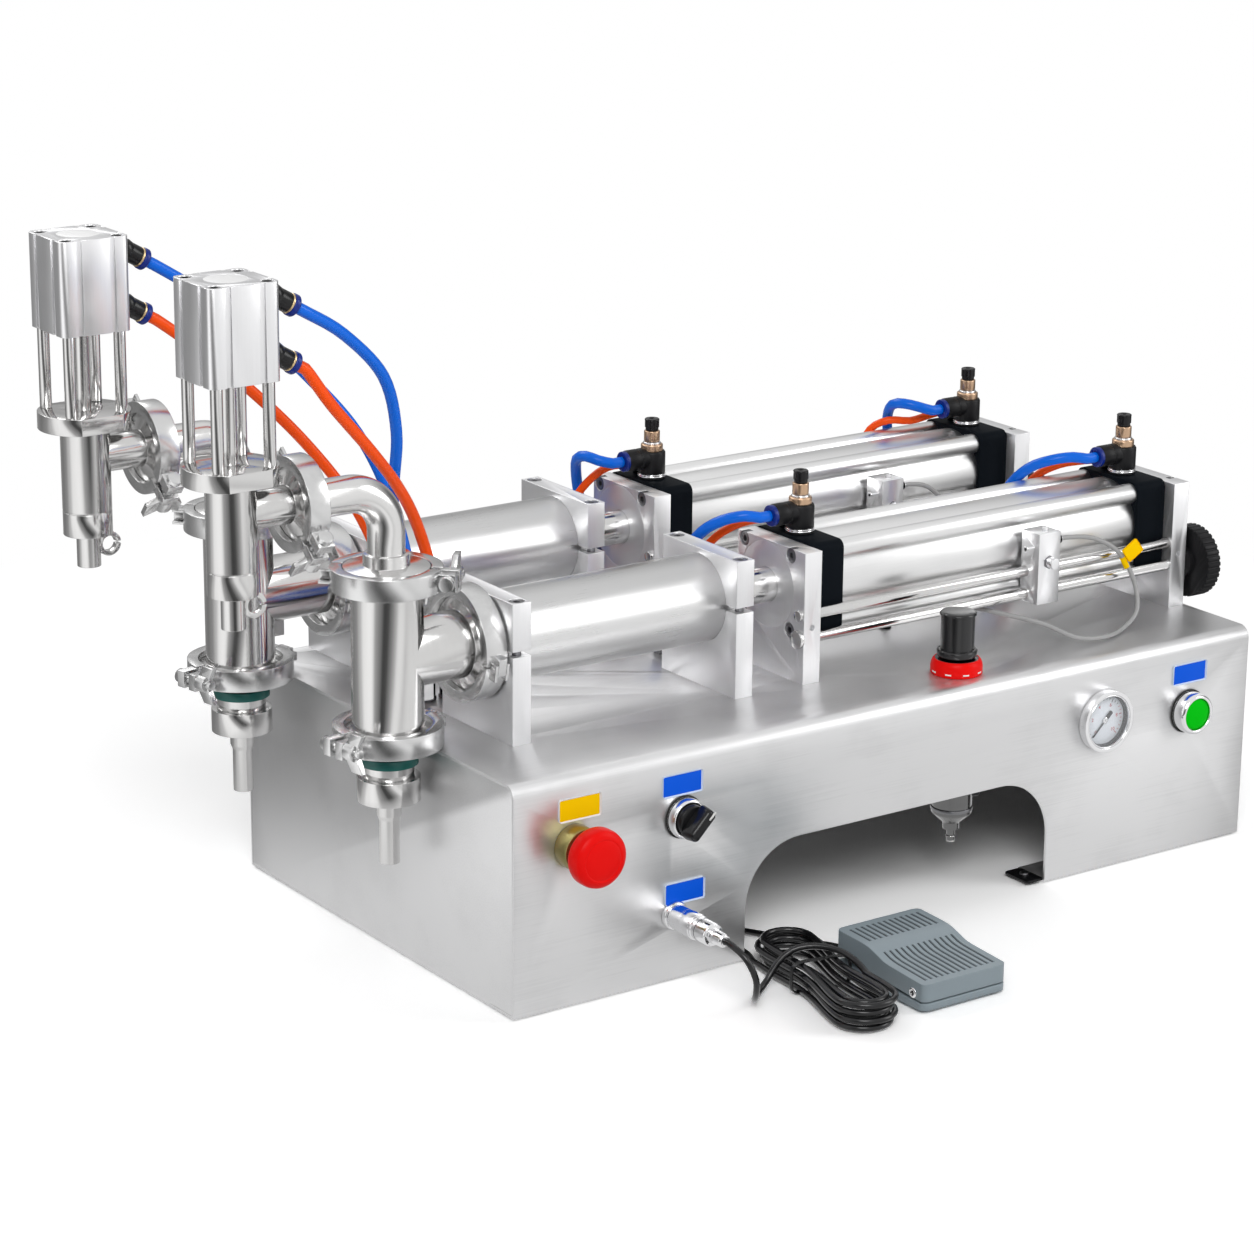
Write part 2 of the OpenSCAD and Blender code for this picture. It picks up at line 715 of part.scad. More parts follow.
// Each climb takes the run that follows a turn of the spiral
function hank_z(p) =
    let (l = hank_layer(p), q = (p - l * hank_turns) * 4)
    hank_rise * (hank_layers - 1 - (l == 0 ? 0 : l - 1 + smooth(min(q, 1))));
function hank_point(p) =
    let (w = hank_w(p), s = (p - floor(p)) * 4, t = s - floor(s), h = hank_run / 2,
        n = w - hank_waist * sin(180 * t) * sin(180 * t))
    s < 1 ? [n, h - t * hank_run]
    : s < 2 ? [w * cos(180 * t), -h - w * sin(180 * t)]
    : s < 3 ? [-n, t * hank_run - h]
    : [-w * cos(180 * t), h + w * sin(180 * t)];
function leaned(v) = [
    hank_x + v[0] * cos(hank_lean) - v[1] * sin(hank_lean),
    hank_y + v[0] * sin(hank_lean) + v[1] * cos(hank_lean),
    v[2],
];
function hank_at(p) =
    let (v = hank_point(p)) leaned([v[0], v[1], hank_low + hank_z(p)]);
function hank_route(rings) =
    let (n = round((hank_total - hank_stop - hank_start) * rings))
    [for (i = [0:n]) hank_at(hank_start + i * (hank_total - hank_stop - hank_start) / n)];
hank_fine = 96; // points in a measured loop
module hank_measure() {
    p = hank_route(hank_fine);
    least = min([for (i = [0:len(p) - 1], j = [i + hank_fine / 4:1:len(p) - 1]) norm(p[i] - p[j])]);
    echo(hank_gap = least - cord_d, hank_loops = hank_total);
}
module cord_hank() color("black") placed() {
    hank_measure();
    tube(hank_route(hank_rings), cord_d / 2, 6);
}
hank_first = hank_at(hank_start);
hank_ahead = unit(hank_at(hank_start) - hank_at(hank_start + 1 / hank_rings));
hank_last = hank_at(hank_total - hank_stop);
hank_after = unit(hank_last - hank_at(hank_total - hank_stop - 1 / hank_rings));
plug_at = [socket_x, -plug_end, socket_z];
cord_in_at = [cord_in, pedal_end, cord_in_z];
// Lead from the plug over the bundle, and tail behind the leg to the foot switch
lead_points = concat(
    [plug_at, plug_at - [0, cord_d, 0]],
    [[130, -77, 42], [135, -82, 28], [140, -76, 14], [148, -64, 5], [159, -54, 4],
        [169, -50, 9], [177, -50, 19], [187, -53, 27], [199, -61, 30], [209, -73, 29],
        [214, -86, 25]],
    [hank_first + 2 * cord_d * hank_ahead, hank_first]
);
tail_points = concat(
    [hank_last, hank_last + 2 * cord_d * hank_after],
    [[195, 8, 2.4], [194, 24, 2.4], [184, 38, 2.4], [166, 48, 2.4], [158, 66, 2.4],
        [172, 80, 2.4], [194, 74, 2.4], [212, 52, 2.4], [228, 26, 2.4], [240, 2, 3], [244, -20, 7]],
    [cord_in_at + [0, 2 * cord_d, 0], cord_in_at]
);
cord_spacing = 3 * cord_d;
module cord_lead() color("black") placed() tube(route(lead_points, cord_spacing), cord_d / 2, 8);
module cord_tail() color("black") placed() tube(route(tail_points, cord_spacing), cord_d / 2, 8);
tie_extra = 1.5;
tie_inner_w = 2 * (hank_fold_r + hank_span - hank_waist + tie_extra) + cord_d;
tie_inner_h = (hank_layers - 1) * hank_rise + cord_d + 2 * tie_play;
tie_round = 2.5;
module cord_tie() color("black") placed()
    translate([hank_x, hank_y, 0]) rotate([0, 0, hank_lean])
        translate([0, tie_y, tie_t + tie_inner_h / 2]) rotate([90, 0, 0])
            linear_extrude(tie_w) difference() {
                round_rect(tie_inner_w + 2 * tie_t, tie_inner_h + 2 * tie_t, tie_round + tie_t);
                round_rect(tie_inner_w, tie_inner_h, tie_round);
            }

// Standing plates
plate_slot = 4;
pinch_at = 37; // pinch screws from the axis
plate_screw_r = 3;
plate_head_r = 5;
plate_head_h = 5;
sink_r = 5.5;
sink_d = 6.5;
sink_rest = 0.5; // head below the plate's face
cap_bolt_at = 27;
cap_bolt_in = 12;
set_screw_r = 2.2;
set_screw_z = 40.5; // above the deck
set_screw_d = 10;
deck_screw_r = 3;
deck_screw_up = 14;
clamp_screw_at = 30;
drive_screw_at = 20;
rod_at = 38; // guide rod and screw in front of the axis
rod_down = 14; // guide rod below the axis
screw_down = 31; // adjusting screw below the axis
gland_l = 12.5;
piston_in = 17.5; // piston from the clamp plate's left face
piston_l = 22;
end_play = 5; // piston from the gland at the end of its stroke
clamp_span = piston_in + piston_l + stroke + end_play + gland_l;
clamp_xs = [clamp_x, clamp_x + clamp_span - plate_t];
drive_xs = [drive_x, drive_x + drive_span - plate_t];
barrel_r = barrel_bore + barrel_wall;
drive_r = drive_bore + drive_wall;
plate_screws = [
    for (i = stations, x = clamp_xs, j = [-1, 1])
        [x + plate_t / 2, station_y(i) + j * clamp_screw_at],
    for (i = stations, x = drive_xs, j = [-1, 1])
        [x + plate_t / 2, station_y(i) + j * drive_screw_at - (plate_front - drive_plate_w / 2)],
];
module plate_block(x, w, h) translate([x, -plate_front, -axis_h]) cube([plate_t, w, h]);
module clamp_plates() color("silver") placed() difference() {
    at_stations() for (x = clamp_xs) difference() {
        plate_block(x, clamp_plate_w, clamp_plate_h);
        along_x(x, 0, 0) hole(barrel_r + fit, -cut, plate_t + cut);
        translate([x - cut, -plate_front - cut, -plate_slot / 2])
            cube([plate_t + 2 * cut, plate_front, plate_slot]);
        for (y = [-pinch_at, pinch_at]) translate([x + plate_t / 2, y, clamp_plate_h - axis_h]) {
            hole(sink_r, -sink_d, cut);
            hole(plate_screw_r + fit, -clamp_plate_h * pinch_share, 0);
        }
    }
    for (p = plate_screws) translate([p[0], p[1], deck_z])
        hole(deck_screw_r + fit, -cut, deck_screw_up);
}
pinch_share = 0.6;
module cylinder_plates() color("silver") placed() difference() {
    at_stations() for (k = [0, 1]) difference() {
        plate_block(drive_xs[k], drive_plate_w, drive_plate_h);
        if (k == 0) along_x(drive_xs[0], 0, 0) hole(spigot_r + fit, -cut, plate_t + cut);
        for (y = [-cap_bolt_at, cap_bolt_at], z = [-cap_bolt_at, cap_bolt_at])
            along_x(drive_xs[k], y, z) {
                hole(plate_screw_r + fit, -cut, plate_t + cut);
                if (k == 0) hole(sink_r, -cut, sink_d);
                else hole(sink_r, plate_t - sink_d, plate_t + cut);
            }
        for (z = [-rod_down, -screw_down]) along_x(drive_xs[k], -rod_at, z)
            hole(guide_r + fit, -cut, plate_t + cut);
        translate([drive_xs[k] + plate_t / 2, -plate_front - cut, set_screw_z - axis_h])
            rotate([-90, 0, 0]) cylinder(r = set_screw_r, h = set_screw_d / 2);
    }
    for (p = plate_screws) translate([p[0], p[1], deck_z])
        hole(deck_screw_r + fit, -cut, deck_screw_up);
}
module socket_screws() color("dimgray") placed() {
    at_stations() {
        for (x = clamp_xs, y = [-pinch_at, pinch_at])
            translate([x + plate_t / 2, y, clamp_plate_h - axis_h]) screw_down_from(
                sink_rest, plate_head_h, clamp_plate_h * pinch_share - cut);
        for (k = [0, 1], y = [-cap_bolt_at, cap_bolt_at], z = [-cap_bolt_at, cap_bolt_at])
            translate([k == 0 ? drive_xs[0] : drive_xs[1] + plate_t, y, z])
                rotate([0, k == 0 ? -90 : 90, 0])
                    screw_down_from(sink_rest, plate_head_h, plate_t + cap_bolt_in - cut);
    }
    for (p = plate_screws) translate([p[0], p[1], deck_z - sheet_t]) mirror([0, 0, 1])
        screw_down_from(-plate_head_h, plate_head_h, sheet_t + deck_screw_up - cut);
}
hex_r = 2.4;
hex_d = 2.5;
// A socket head screw below the plane, its head's top at the given depth
module screw_down_from(depth, head, reach) difference() {
    union() {
        translate([0, 0, -depth - head]) cylinder(r = plate_head_r - fit, h = head);
        translate([0, 0, -max(reach, depth + head + cut)])
            cylinder(r = plate_screw_r, h = max(reach, depth + head + cut) - depth - head);
    }
    translate([0, 0, -depth - hex_d]) cylinder(r = hex_r, h = hex_d + cut, $fn = 6);
}

// Barrels and drive cylinders
rim_t = 1.6; // ferrule's rim
slope_share = 0.36; // ferrule's taper
side_rim = 34.5;
seal_gap = 0.06;
spigot_r = 31;
ridge_r = 7.5;
ridge_at = 25;
cap_round = 6;
tube_x = drive_x + plate_t + cap_l;
tube_l = drive_span - 2 * plate_t - 2 * cap_l;
barrel_l = barrel_over + clamp_span;
module ferrule(rim, neck) stack([[rim, rim_t], [rim, neck, (rim - neck) * slope_share]]);
module barrels() color("silver") placed() at_stations() along_x(barrel_x, 0, 0) {
    difference() {
        union() {
            cylinder(r = barrel_r, h = barrel_l);
            ferrule(side_rim, barrel_r);
        }
        hole(barrel_bore, -cut, barrel_l + cut);
    }
    translate([0, 0, barrel_l - gland_l]) pipe(barrel_bore - fit, rod_r + fit, gland_l);
}
groove_w = 2;
groove_d = 1.5;
air_piston_l = 18;
piston_clear = 5; // drive piston from its left cap
rod_end = tube_x + piston_clear;
module piston(i) placed() translate([0, station_y(i), axis_z]) along_x(clamp_x + piston_in, 0, 0) {
    difference() {
        cylinder(r = barrel_bore - seal_gap, h = piston_l);
        for (k = [1, 2]) translate([0, 0, k * piston_l / 3 - groove_w / 2])
            pipe(barrel_bore + cut, barrel_bore - seal_gap - groove_d, groove_w);
    }
    cylinder(r = rod_r, h = rod_end - clamp_x - piston_in);
    translate([0, 0, rod_end - clamp_x - piston_in]) difference() {
        cylinder(r = drive_bore - seal_gap, h = air_piston_l);
        translate([0, 0, (air_piston_l - groove_w) / 2])
            pipe(drive_bore + cut, drive_bore - seal_gap - groove_d, groove_w);
    }
}
module front_piston() color("white") piston(0);
module rear_piston() color("white") piston(1);
module cylinder_tubes() color("lightgray") placed() at_stations() along_x(tube_x, 0, 0)
    linear_extrude(tube_l) difference() {
        union() {
            circle(drive_r);
            for (y = [-ridge_at, ridge_at], z = [-ridge_at, ridge_at])
                translate([z, y]) circle(ridge_r);
        }
        circle(drive_bore);
    }
module cap_block(x, bolts_at_end) along_x(x, 0, 0) difference() {
    linear_extrude(cap_l) round_rect(cap_w, cap_w, cap_round);
    for (y = [-cap_bolt_at, cap_bolt_at], z = [-cap_bolt_at, cap_bolt_at])
        translate([z, y, bolts_at_end ? cap_l - cap_bolt_in : 0])
            hole(plate_screw_r + fit, bolts_at_end ? 0 : -cut, cap_bolt_in + (bolts_at_end ? cut : 0));
}
module cylinder_caps() color("lightgray") placed() at_stations() {
    difference() {
        union() {
            cap_block(drive_xs[0] + plate_t, false);
            along_x(drive_xs[0], 0, 0) cylinder(r = spigot_r, h = plate_t);
        }
        along_x(drive_xs[0], 0, 0) hole(rod_r + fit, -cut, plate_t + cap_l + cut);
    }
    cap_block(drive_xs[1] - cap_l, true);
}

// Guide rods, adjusting screws and hand wheels
rod_past = 2;
collar_r = 6.5;
collar_h = 3;
wheel_t = 12;
wheel_hub_r = 11;
wheel_knurls = 36;
knurl_r = 1;
module guide_rods() color("silver") placed() at_stations()
    along_x(drive_xs[0] - rod_past, -rod_at, -rod_down)
        cylinder(r = guide_r, h = drive_span + 2 * rod_past);
module adjusting_wheel(i) placed() translate([0, station_y(i), axis_z])
    along_x(drive_xs[0], -rod_at, -screw_down) {
        translate([0, 0, -collar_h - seal_gap]) cylinder(r = collar_r, h = collar_h);
        translate([0, 0, -collar_h]) cylinder(r = guide_r, h = drive_span + collar_h + wheel_end);
        translate([0, 0, drive_span + seal_gap])
            cylinder(r = wheel_hub_r, h = wheel_end - wheel_t);
        translate([0, 0, drive_span + wheel_end - wheel_t]) difference() {
            cylinder(r = wheel_r, h = wheel_t);
            for (k = [0:wheel_knurls - 1]) rotate([0, 0, k * 360 / wheel_knurls])
                translate([wheel_r, 0, 0]) hole(knurl_r, -cut, wheel_t + cut);
        }
    }
module front_adjusting_wheel() color("dimgray") adjusting_wheel(0);
module rear_adjusting_wheel() color("dimgray") adjusting_wheel(1);

// Stroke sensor brackets on the rods, with their cables
bracket_x = 491;
bracket_l = 20;
bracket_front = 52.5; // in front of the axis
bracket_w = 19;
bracket_low = 36.4; // below the axis
bracket_h = 52.8;
lock_r = 4;
lock_out = 7;
lock_up = 31;
sensor_pin_r = 1.2;
sensor_pin_out = 8;
sensor_pin_up = 42;
lamp_r = 2.2;
lamp_h = 3;
cable_r = 1.75;
gland_r = 3;
gland_out = 5;
cable_up = 45;
cable_back = 6; // from the bracket's front face
module sensor_bracket(i) placed() translate([bracket_x, station_y(i), axis_z]) difference() {
    union() {
        translate([0, -bracket_front, -bracket_low]) cube([bracket_l, bracket_w, bracket_h]);
        translate([bracket_l / 2, -bracket_front, lock_up - bracket_low])
            rotate([90, 0, 0]) cylinder(r = lock_r, h = lock_out);
        translate([0, cable_back - bracket_front, sensor_pin_up - bracket_low])
            rotate([0, -90, 0]) cylinder(r = sensor_pin_r, h = sensor_pin_out);
        translate([bracket_l / 2, cable_back - bracket_front, bracket_h - bracket_low])
            cylinder(r = lamp_r, h = lamp_h);
        along_x(bracket_l, cable_back - bracket_front, cable_up - bracket_low)
            cylinder(r = gland_r, h = gland_out);
    }
    for (z = [-rod_down, -screw_down]) along_x(0, -rod_at, z)
        hole(guide_r + fit, -cut, bracket_l + cut);
}
module front_sensor_bracket() color("lightgray") sensor_bracket(0);
module rear_sensor_bracket() color("lightgray") sensor_bracket(1);
function cable_at(i) = [
    bracket_x + bracket_l + gland_out, station_y(i) - bracket_front + cable_back,
    axis_z + cable_up - bracket_low,
];
grommet_ring_r = 5;
grommet_ring_h = 3;
front_cable_points = concat(
    [cable_at(0), cable_at(0) + [3 * cable_r, 0, 0]],
    [[548, 66, 229], [572, 64, 215], [583, 58, 193], [580, 50, 174], [562, 42, 166],
        [535, 32, 165], [508, 34, 168], [488, 48, 178], [470, 68, 183], [452, 94, 186],
        [435, 121, 187], [424, 138, 183]],
    [[420, 146, deck_z + grommet_ring_h + 2 * cable_r], [420, 146, deck_z + grommet_ring_h]]
);
rear_cable_points = concat(
    [cable_at(1), cable_at(1) + [3 * cable_r, 0, 0]],
    [[540, 246, 229], [556, 244, 213], [558, 240, 192], [546, 236, 174], [522, 236, 166],
        [500, 242, 172], [480, 254, 182], [462, 274, 187], [444, 302, 187], [430, 320, 183]],
    [[425, 328, deck_z + grommet_ring_h + 2 * cable_r], [425, 328, deck_z + grommet_ring_h]]
);
cable_ring_space = 7 * cable_r;
module front_sensor_cable() color("gray") placed()
    tube(route(front_cable_points, cable_ring_space), cable_r, 8);
module rear_sensor_cable() color("gray") placed()
    tube(route(rear_cable_points, cable_ring_space), cable_r, 8);

// Flow controls on the cylinder caps
flow_ring_r = 10.4;
flow_ring_h = 4;
flow_body_r = 10.1;
flow_body_h = 17;
flow_collar_r = 8.2;
flow_collar_h = 5;
flow_nut_r = 6.2;
flow_nut_h = 2;
flow_stem_r = 5.9;
flow_stem_h = 8;
flow_knob_r = 5.7;
flow_knob_h = 9;
flow_spindle_r = 2.5;
flow_spindle_d = 6;
flow_port_up = 15.5;
flow_port_r = 8;
flow_port_in = 24; // from the axis to the sleeve's end
flow_ring_end = 3;
flow_ring_end_r = 7.6;
flow_top = flow_ring_h + flow_body_h + flow_collar_h + flow_nut_h + flow_stem_h;
cap_top = cap_w / 2;
small_boss_r = 4;
small_boss_h = 12;
small_boss_y = 17;
small_r = 3;
air_r = 4;
flow_xs = [drive_xs[0] + plate_t + cap_l / 2, drive_xs[1] - cap_l / 2];
module flow_control() {
    difference() {
        union() {
            stack([
                [flow_ring_r, flow_ring_h], [flow_body_r, flow_body_h],
                [flow_collar_r, flow_collar_h], [flow_nut_r, flow_nut_h],
                [flow_stem_r, flow_stem_h],
            ]);
            translate([0, 0, flow_port_up]) rotate([0, -90, 0]) {
                cylinder(r = flow_port_r, h = flow_port_in);
                translate([0, 0, flow_port_in]) cylinder(r = flow_ring_end_r, h = flow_ring_end);
            }
        }
        hole(flow_spindle_r + fit, flow_top - flow_spindle_d - gap, flow_top + cut);
    }
    translate([0, small_boss_y, 0]) {
        cylinder(r = small_boss_r, h = small_boss_h);
        translate([0, 0, small_boss_h - small_boss_r]) rotate([0, -90, 0])
            cylinder(r = small_boss_r - fit, h = 2 * small_boss_r);
    }
}
module flow_controls() color("dimgray") placed() at_stations() for (x = flow_xs)
    translate([x, 0, cap_top]) flow_control();
module flow_knob(i, k) color("black") placed()
    translate([flow_xs[k], station_y(i), axis_z + cap_top + flow_top]) {
        translate([0, 0, seal_gap]) cylinder(r = flow_knob_r, h = flow_knob_h);
        translate([0, 0, -flow_spindle_d]) cylinder(r = flow_spindle_r, h = flow_spindle_d + cut);
    }
module front_left_flow_knob() flow_knob(0, 0);
module front_right_flow_knob() flow_knob(0, 1);
module rear_left_flow_knob() flow_knob(1, 0);
module rear_right_flow_knob() flow_knob(1, 1);

// Valve heads, from the cylinder axis: Z is the valve's axis
head_rim = 32;
valve_bore = valve_r - pipe_wall;
side_bore = side_port_r - pipe_wall;
seat_bore = 15;
seat_t = 4;
seat_down = 14; // outlet seat below the top face
lug_w = 8;
lug_out = 9;
lug_low = 34;
lug_h = 14;
module at_valves() for (i = stations)
    translate([valve_at(i), station_y(i), axis_z]) children();
module at_nozzles() for (i = stations)
    translate([nozzle_at(i), station_y(i), axis_z + nozzle_up]) children();
function port_len(i) = port_reach + i * rear_head_shift;
module valve_bodies() color("silver") placed() for (i = stations)
    translate([valve_at(i), station_y(i), axis_z]) {
        seat_z = valve_up - seat_down;
        difference() {
            union() {
                hole(valve_r, -valve_down, valve_up);
                translate([0, 0, -valve_down]) ferrule(head_rim, valve_r);
                translate([0, 0, valve_up]) mirror([0, 0, 1]) ferrule(head_rim, valve_r);
                along_x(0, 0, 0) cylinder(r = side_port_r, h = port_len(i));
                along_x(port_len(i), 0, 0) mirror([0, 0, 1]) ferrule(side_rim, side_port_r);
                translate([0, -lug_w / 2, -lug_low]) cube([valve_r + lug_out, lug_w, lug_h]);
            }
            hole(valve_bore, -valve_down - cut, seat_z);
            hole(seat_bore, seat_z - cut, seat_z + seat_t + cut);
            hole(valve_bore, seat_z + seat_t, valve_up + cut);
            along_x(0, 0, 0) hole(side_bore, 0, port_len(i) + cut);
        }
    }
poppet_r = 18;
poppet_t = 3;
fin_t = 2;
fin_h = 12;
fin_play = 0.3;
module poppet() {
    cylinder(r = poppet_r, h = poppet_t);
    translate([0, 0, -fin_h]) for (a = [0, 90]) rotate([0, 0, a])
        translate([-seat_bore + fin_play, -fin_t / 2, 0])
            cube([2 * (seat_bore - fin_play), fin_t, fin_h + cut]);
}
module check_valves() color("white") placed() at_valves() {
    translate([0, 0, valve_up - seat_down + seat_t]) poppet();
    translate([0, 0, -valve_down - gasket_t]) poppet();
}
reducer_neck = 28.8;
reducer_h = 4.1;
hub_slope_h = 0.8;
hub_r = 15.5;
hub_h = 8;
elbow_stem = 15;
nozzle_port_out = 46.5;
nozzle_rim = 26.5;
elbow_bore = elbow_r - pipe_wall;
reducer_cone_h = (head_rim - reducer_neck) * slope_share;
elbow_foot = rim_t + reducer_cone_h + reducer_h + hub_slope_h + hub_h;
elbow_rise = elbow_foot + elbow_stem;
nozzle_up = valve_up + gasket_t + elbow_rise + elbow_bend;
elbow_l = nozzle_reach - elbow_bend - nozzle_port_out - gasket_t;
module elbow_bent(r) translate([-elbow_bend, 0, elbow_rise]) rotate([90, 0, 0])
    rotate_extrude(angle = 90) translate([elbow_bend, 0]) circle(r);
module elbow_out(r, past) translate([-elbow_bend, 0, elbow_rise + elbow_bend])
    rotate([0, -90, 0]) cylinder(r = r, h = elbow_l + past);
module elbow_pipes() color("silver") placed() at_valves()
    translate([0, 0, valve_up + gasket_t]) difference() {
        union() {
            stack([
                [head_rim, rim_t], [head_rim, reducer_neck, reducer_cone_h],
                [reducer_neck, reducer_h], [reducer_neck, hub_r, hub_slope_h],
                [hub_r, hub_h], [elbow_r, elbow_stem],
            ]);
            elbow_bent(elbow_r);
            elbow_out(elbow_r, 0);
            translate([-elbow_bend - elbow_l, 0, elbow_rise + elbow_bend]) rotate([0, 90, 0])
                ferrule(nozzle_rim, elbow_r);
        }
        hole(elbow_bore, -cut, elbow_rise);
        elbow_bent(elbow_bore);
        elbow_out(elbow_bore, cut);
    }

// Pipe clamps: two hinged halves, a bolt and a wing nut
clamp_wall = 5;
clamp_w = 14.6;
side_clamp_w = 16;
clamp_lip = 2.6;
clamp_gap = 0.12;
clamp_split = 5;
hinge_split = 1.5;
ear_out = 11;
ear_t = 7;
ear_in = 1.5; // ear narrower than the ring
clamp_bolt_r = 3;
clamp_bolt_over = 12;
clamp_head_r = 5;
clamp_head_h = 4;
wing_r = 6;
wing_h = 8;
wing_l = 26;
side_wing_l = 18;
wing_t = 4;
wing_low = 5;
wing_high = 15;
leaf_out = 7;
leaf_w = 3;
leaf_t = 2; // an outer leaf
ear_root = 1;
leaf_y = 4;
leaf_top = 8;
leaf_pin_r = 2;
leaf_play = 0.3;
module clamp_half(rim, width, side) {
    out = rim + clamp_wall;
    mid = gasket_t / 2 + rim_t + clamp_gap;
    wide = mid + clamp_lip * slope_share;
    difference() {
        union() {
            difference() {
                rotate_extrude() polygon([
                    [rim - clamp_lip, -width / 2], [out, -width / 2], [out, width / 2],
                    [rim - clamp_lip, width / 2], [rim - clamp_lip, wide],
                    [rim + clamp_gap, mid], [rim + clamp_gap, -mid], [rim - clamp_lip, -wide],
                ]);
                translate([-out - cut, -out - cut, -width])
                    cube([2 * out + 2 * cut, out + cut + hinge_split / 2, 2 * width]);
                translate([0, -cut, -width]) cube([out + cut, clamp_split / 2 + cut, 2 * width]);
            }
            translate([out - clamp_wall + ear_root, clamp_split / 2, ear_in - width / 2])
                cube([clamp_wall - ear_root + ear_out, ear_t, width - 2 * ear_in]);
            for (z = side > 0 ? [-leaf_w] : [leaf_w + leaf_play, -leaf_w - leaf_play - leaf_t])
                translate([-out - leaf_out, -leaf_y, z]) leaf(side > 0 ? 2 * leaf_w : leaf_t);
        }
        translate([out + ear_out / 2, 0, 0]) rotate([-90, 0, 0])
            hole(clamp_bolt_r + fit, 0, clamp_split + ear_t + cut);
        translate([-out - leaf_out / 2 - leaf_play, 0, 0])
            hole(leaf_pin_r + fit, -width, width);
    }
}
// A hinge leaf crosses to the other half outside the ring
module leaf(h) {
    cube([leaf_out - leaf_play, leaf_y + leaf_top, h]);
    translate([0, leaf_y + hinge_split, 0])
        cube([leaf_out + clamp_wall / 2, leaf_top - hinge_split, h]);
}
module pipe_clamp(rim, width, wing) {
    out = rim + clamp_wall;
    clamp_half(rim, width, 1);
    mirror([0, 1, 0]) clamp_half(rim, width, -1);
    pin_half = leaf_w + 2 * leaf_play + leaf_t;
    translate([-out - leaf_out / 2 - leaf_play, 0, -pin_half])
        cylinder(r = leaf_pin_r, h = 2 * pin_half);
    translate([out + ear_out / 2, -clamp_split / 2 - ear_t, 0]) rotate([-90, 0, 0]) {
        hole(clamp_head_r, -clamp_head_h, 0);
        cylinder(r = clamp_bolt_r, h = clamp_split + 2 * ear_t + clamp_bolt_over);
    }
    translate([out + ear_out / 2, clamp_split / 2 + ear_t, 0]) rotate([-90, 0, 0]) difference() {
        union() {
            cylinder(r = wing_r, h = wing_h);
            for (a = [90, 270]) rotate([90, 0, a]) linear_extrude(wing_t, center = true)
                polygon([[0, 0], [wing_r, 0], [wing / 2, wing_low], [wing / 2, wing_high], [0, wing_h]]);
        }
        hole(clamp_bolt_r + fit, -cut, wing_high + cut);
    }
}
top_turn = -45; // the wing nuts' directions, in degrees
low_turn = 190;
side_turn = 100;
nozzle_turn = -50;
module tri_clamps() color("silver") placed() for (i = stations) {
    translate([valve_at(i), station_y(i), axis_z]) {
        translate([0, 0, valve_up + gasket_t / 2]) rotate([0, 0, top_turn])
            pipe_clamp(head_rim, clamp_w, wing_l);
        translate([0, 0, -valve_down - gasket_t / 2]) rotate([0, 0, low_turn])
            pipe_clamp(head_rim, clamp_w, wing_l);
        along_x(port_len(i) + gasket_t / 2, 0, 0) rotate([0, 0, side_turn])
            pipe_clamp(side_rim, side_clamp_w, side_wing_l);
    }
    translate([nozzle_at(i), station_y(i), axis_z + nozzle_up])
        along_x(nozzle_port_out + gasket_t / 2, 0, 0) rotate([0, 0, nozzle_turn])
            pipe_clamp(nozzle_rim, clamp_w, wing_l);
}

// Product inlets under the valves
funnel_r = 24;
funnel_h = 4.3;
funnel_cone_h = 6.5;
funnel_neck_r = 17;
funnel_neck_h = 25;
inlet_nut_r = 21.2;
inlet_nut_h = 16.5;
inlet_nut_floor = 3.5;
spout_collar_h = 3;
spout_r = 8.5;
spout_h = 14;
spout_taper_h = 4;
spout_end_r = 7;
spout_end_h = 30;
spout_bore = 5;
seal_r = 20;
seal_up = 9; // seal ring above the nut
seal_h = 6;
funnel_top = -valve_down - gasket_t;
funnel_foot = rim_t + (head_rim - reducer_neck) * slope_share + funnel_h + funnel_cone_h;
neck_low = funnel_foot + funnel_neck_h; // neck's end below the top face
nut_low = neck_low + spout_collar_h + inlet_nut_floor;
module inlet_spouts() color("silver") placed() at_valves() translate([0, 0, funnel_top])
    mirror([0, 0, 1]) {
        difference() {
            stack([
                [head_rim, rim_t], [head_rim, reducer_neck, (head_rim - reducer_neck) * slope_share],
                [funnel_r, funnel_h], [funnel_r, funnel_neck_r, funnel_cone_h],
                [funnel_neck_r, funnel_neck_h],
            ]);
            hole(seat_bore, -cut, neck_low + cut);
        }
        difference() {
            hole(inlet_nut_r, nut_low - inlet_nut_h, nut_low);
            hole(funnel_neck_r + fit, nut_low - inlet_nut_h - cut, nut_low - inlet_nut_floor);
            hole(spout_r + fit, nut_low - inlet_nut_floor - cut, nut_low + cut);
        }
        translate([0, 0, neck_low]) difference() {
            stack([
                [funnel_neck_r - fit, spout_collar_h], [spout_r, spout_h],
                [spout_r, spout_end_r, spout_taper_h], [spout_end_r, spout_end_h],
            ]);
            hole(spout_bore, -cut, spout_collar_h + spout_h + spout_taper_h + spout_end_h + cut);
        }
    }
module gaskets() color("white") placed() {
    at_valves() {
        translate([0, 0, valve_up]) pipe(head_rim - gasket_in, valve_bore, gasket_t);
        translate([0, 0, -valve_down - gasket_t]) pipe(head_rim - gasket_in, valve_bore, gasket_t);
        translate([0, 0, funnel_top - nut_low + inlet_nut_h + seal_up])
            pipe(seal_r, funnel_neck_r + fit, seal_h);
    }
    for (i = stations) translate([valve_at(i), station_y(i), axis_z])
        along_x(port_len(i), 0, 0) pipe(side_rim - gasket_in, barrel_bore, gasket_t);
    at_nozzles() along_x(nozzle_port_out, 0, 0) pipe(nozzle_rim - gasket_in, elbow_bore, gasket_t);
}

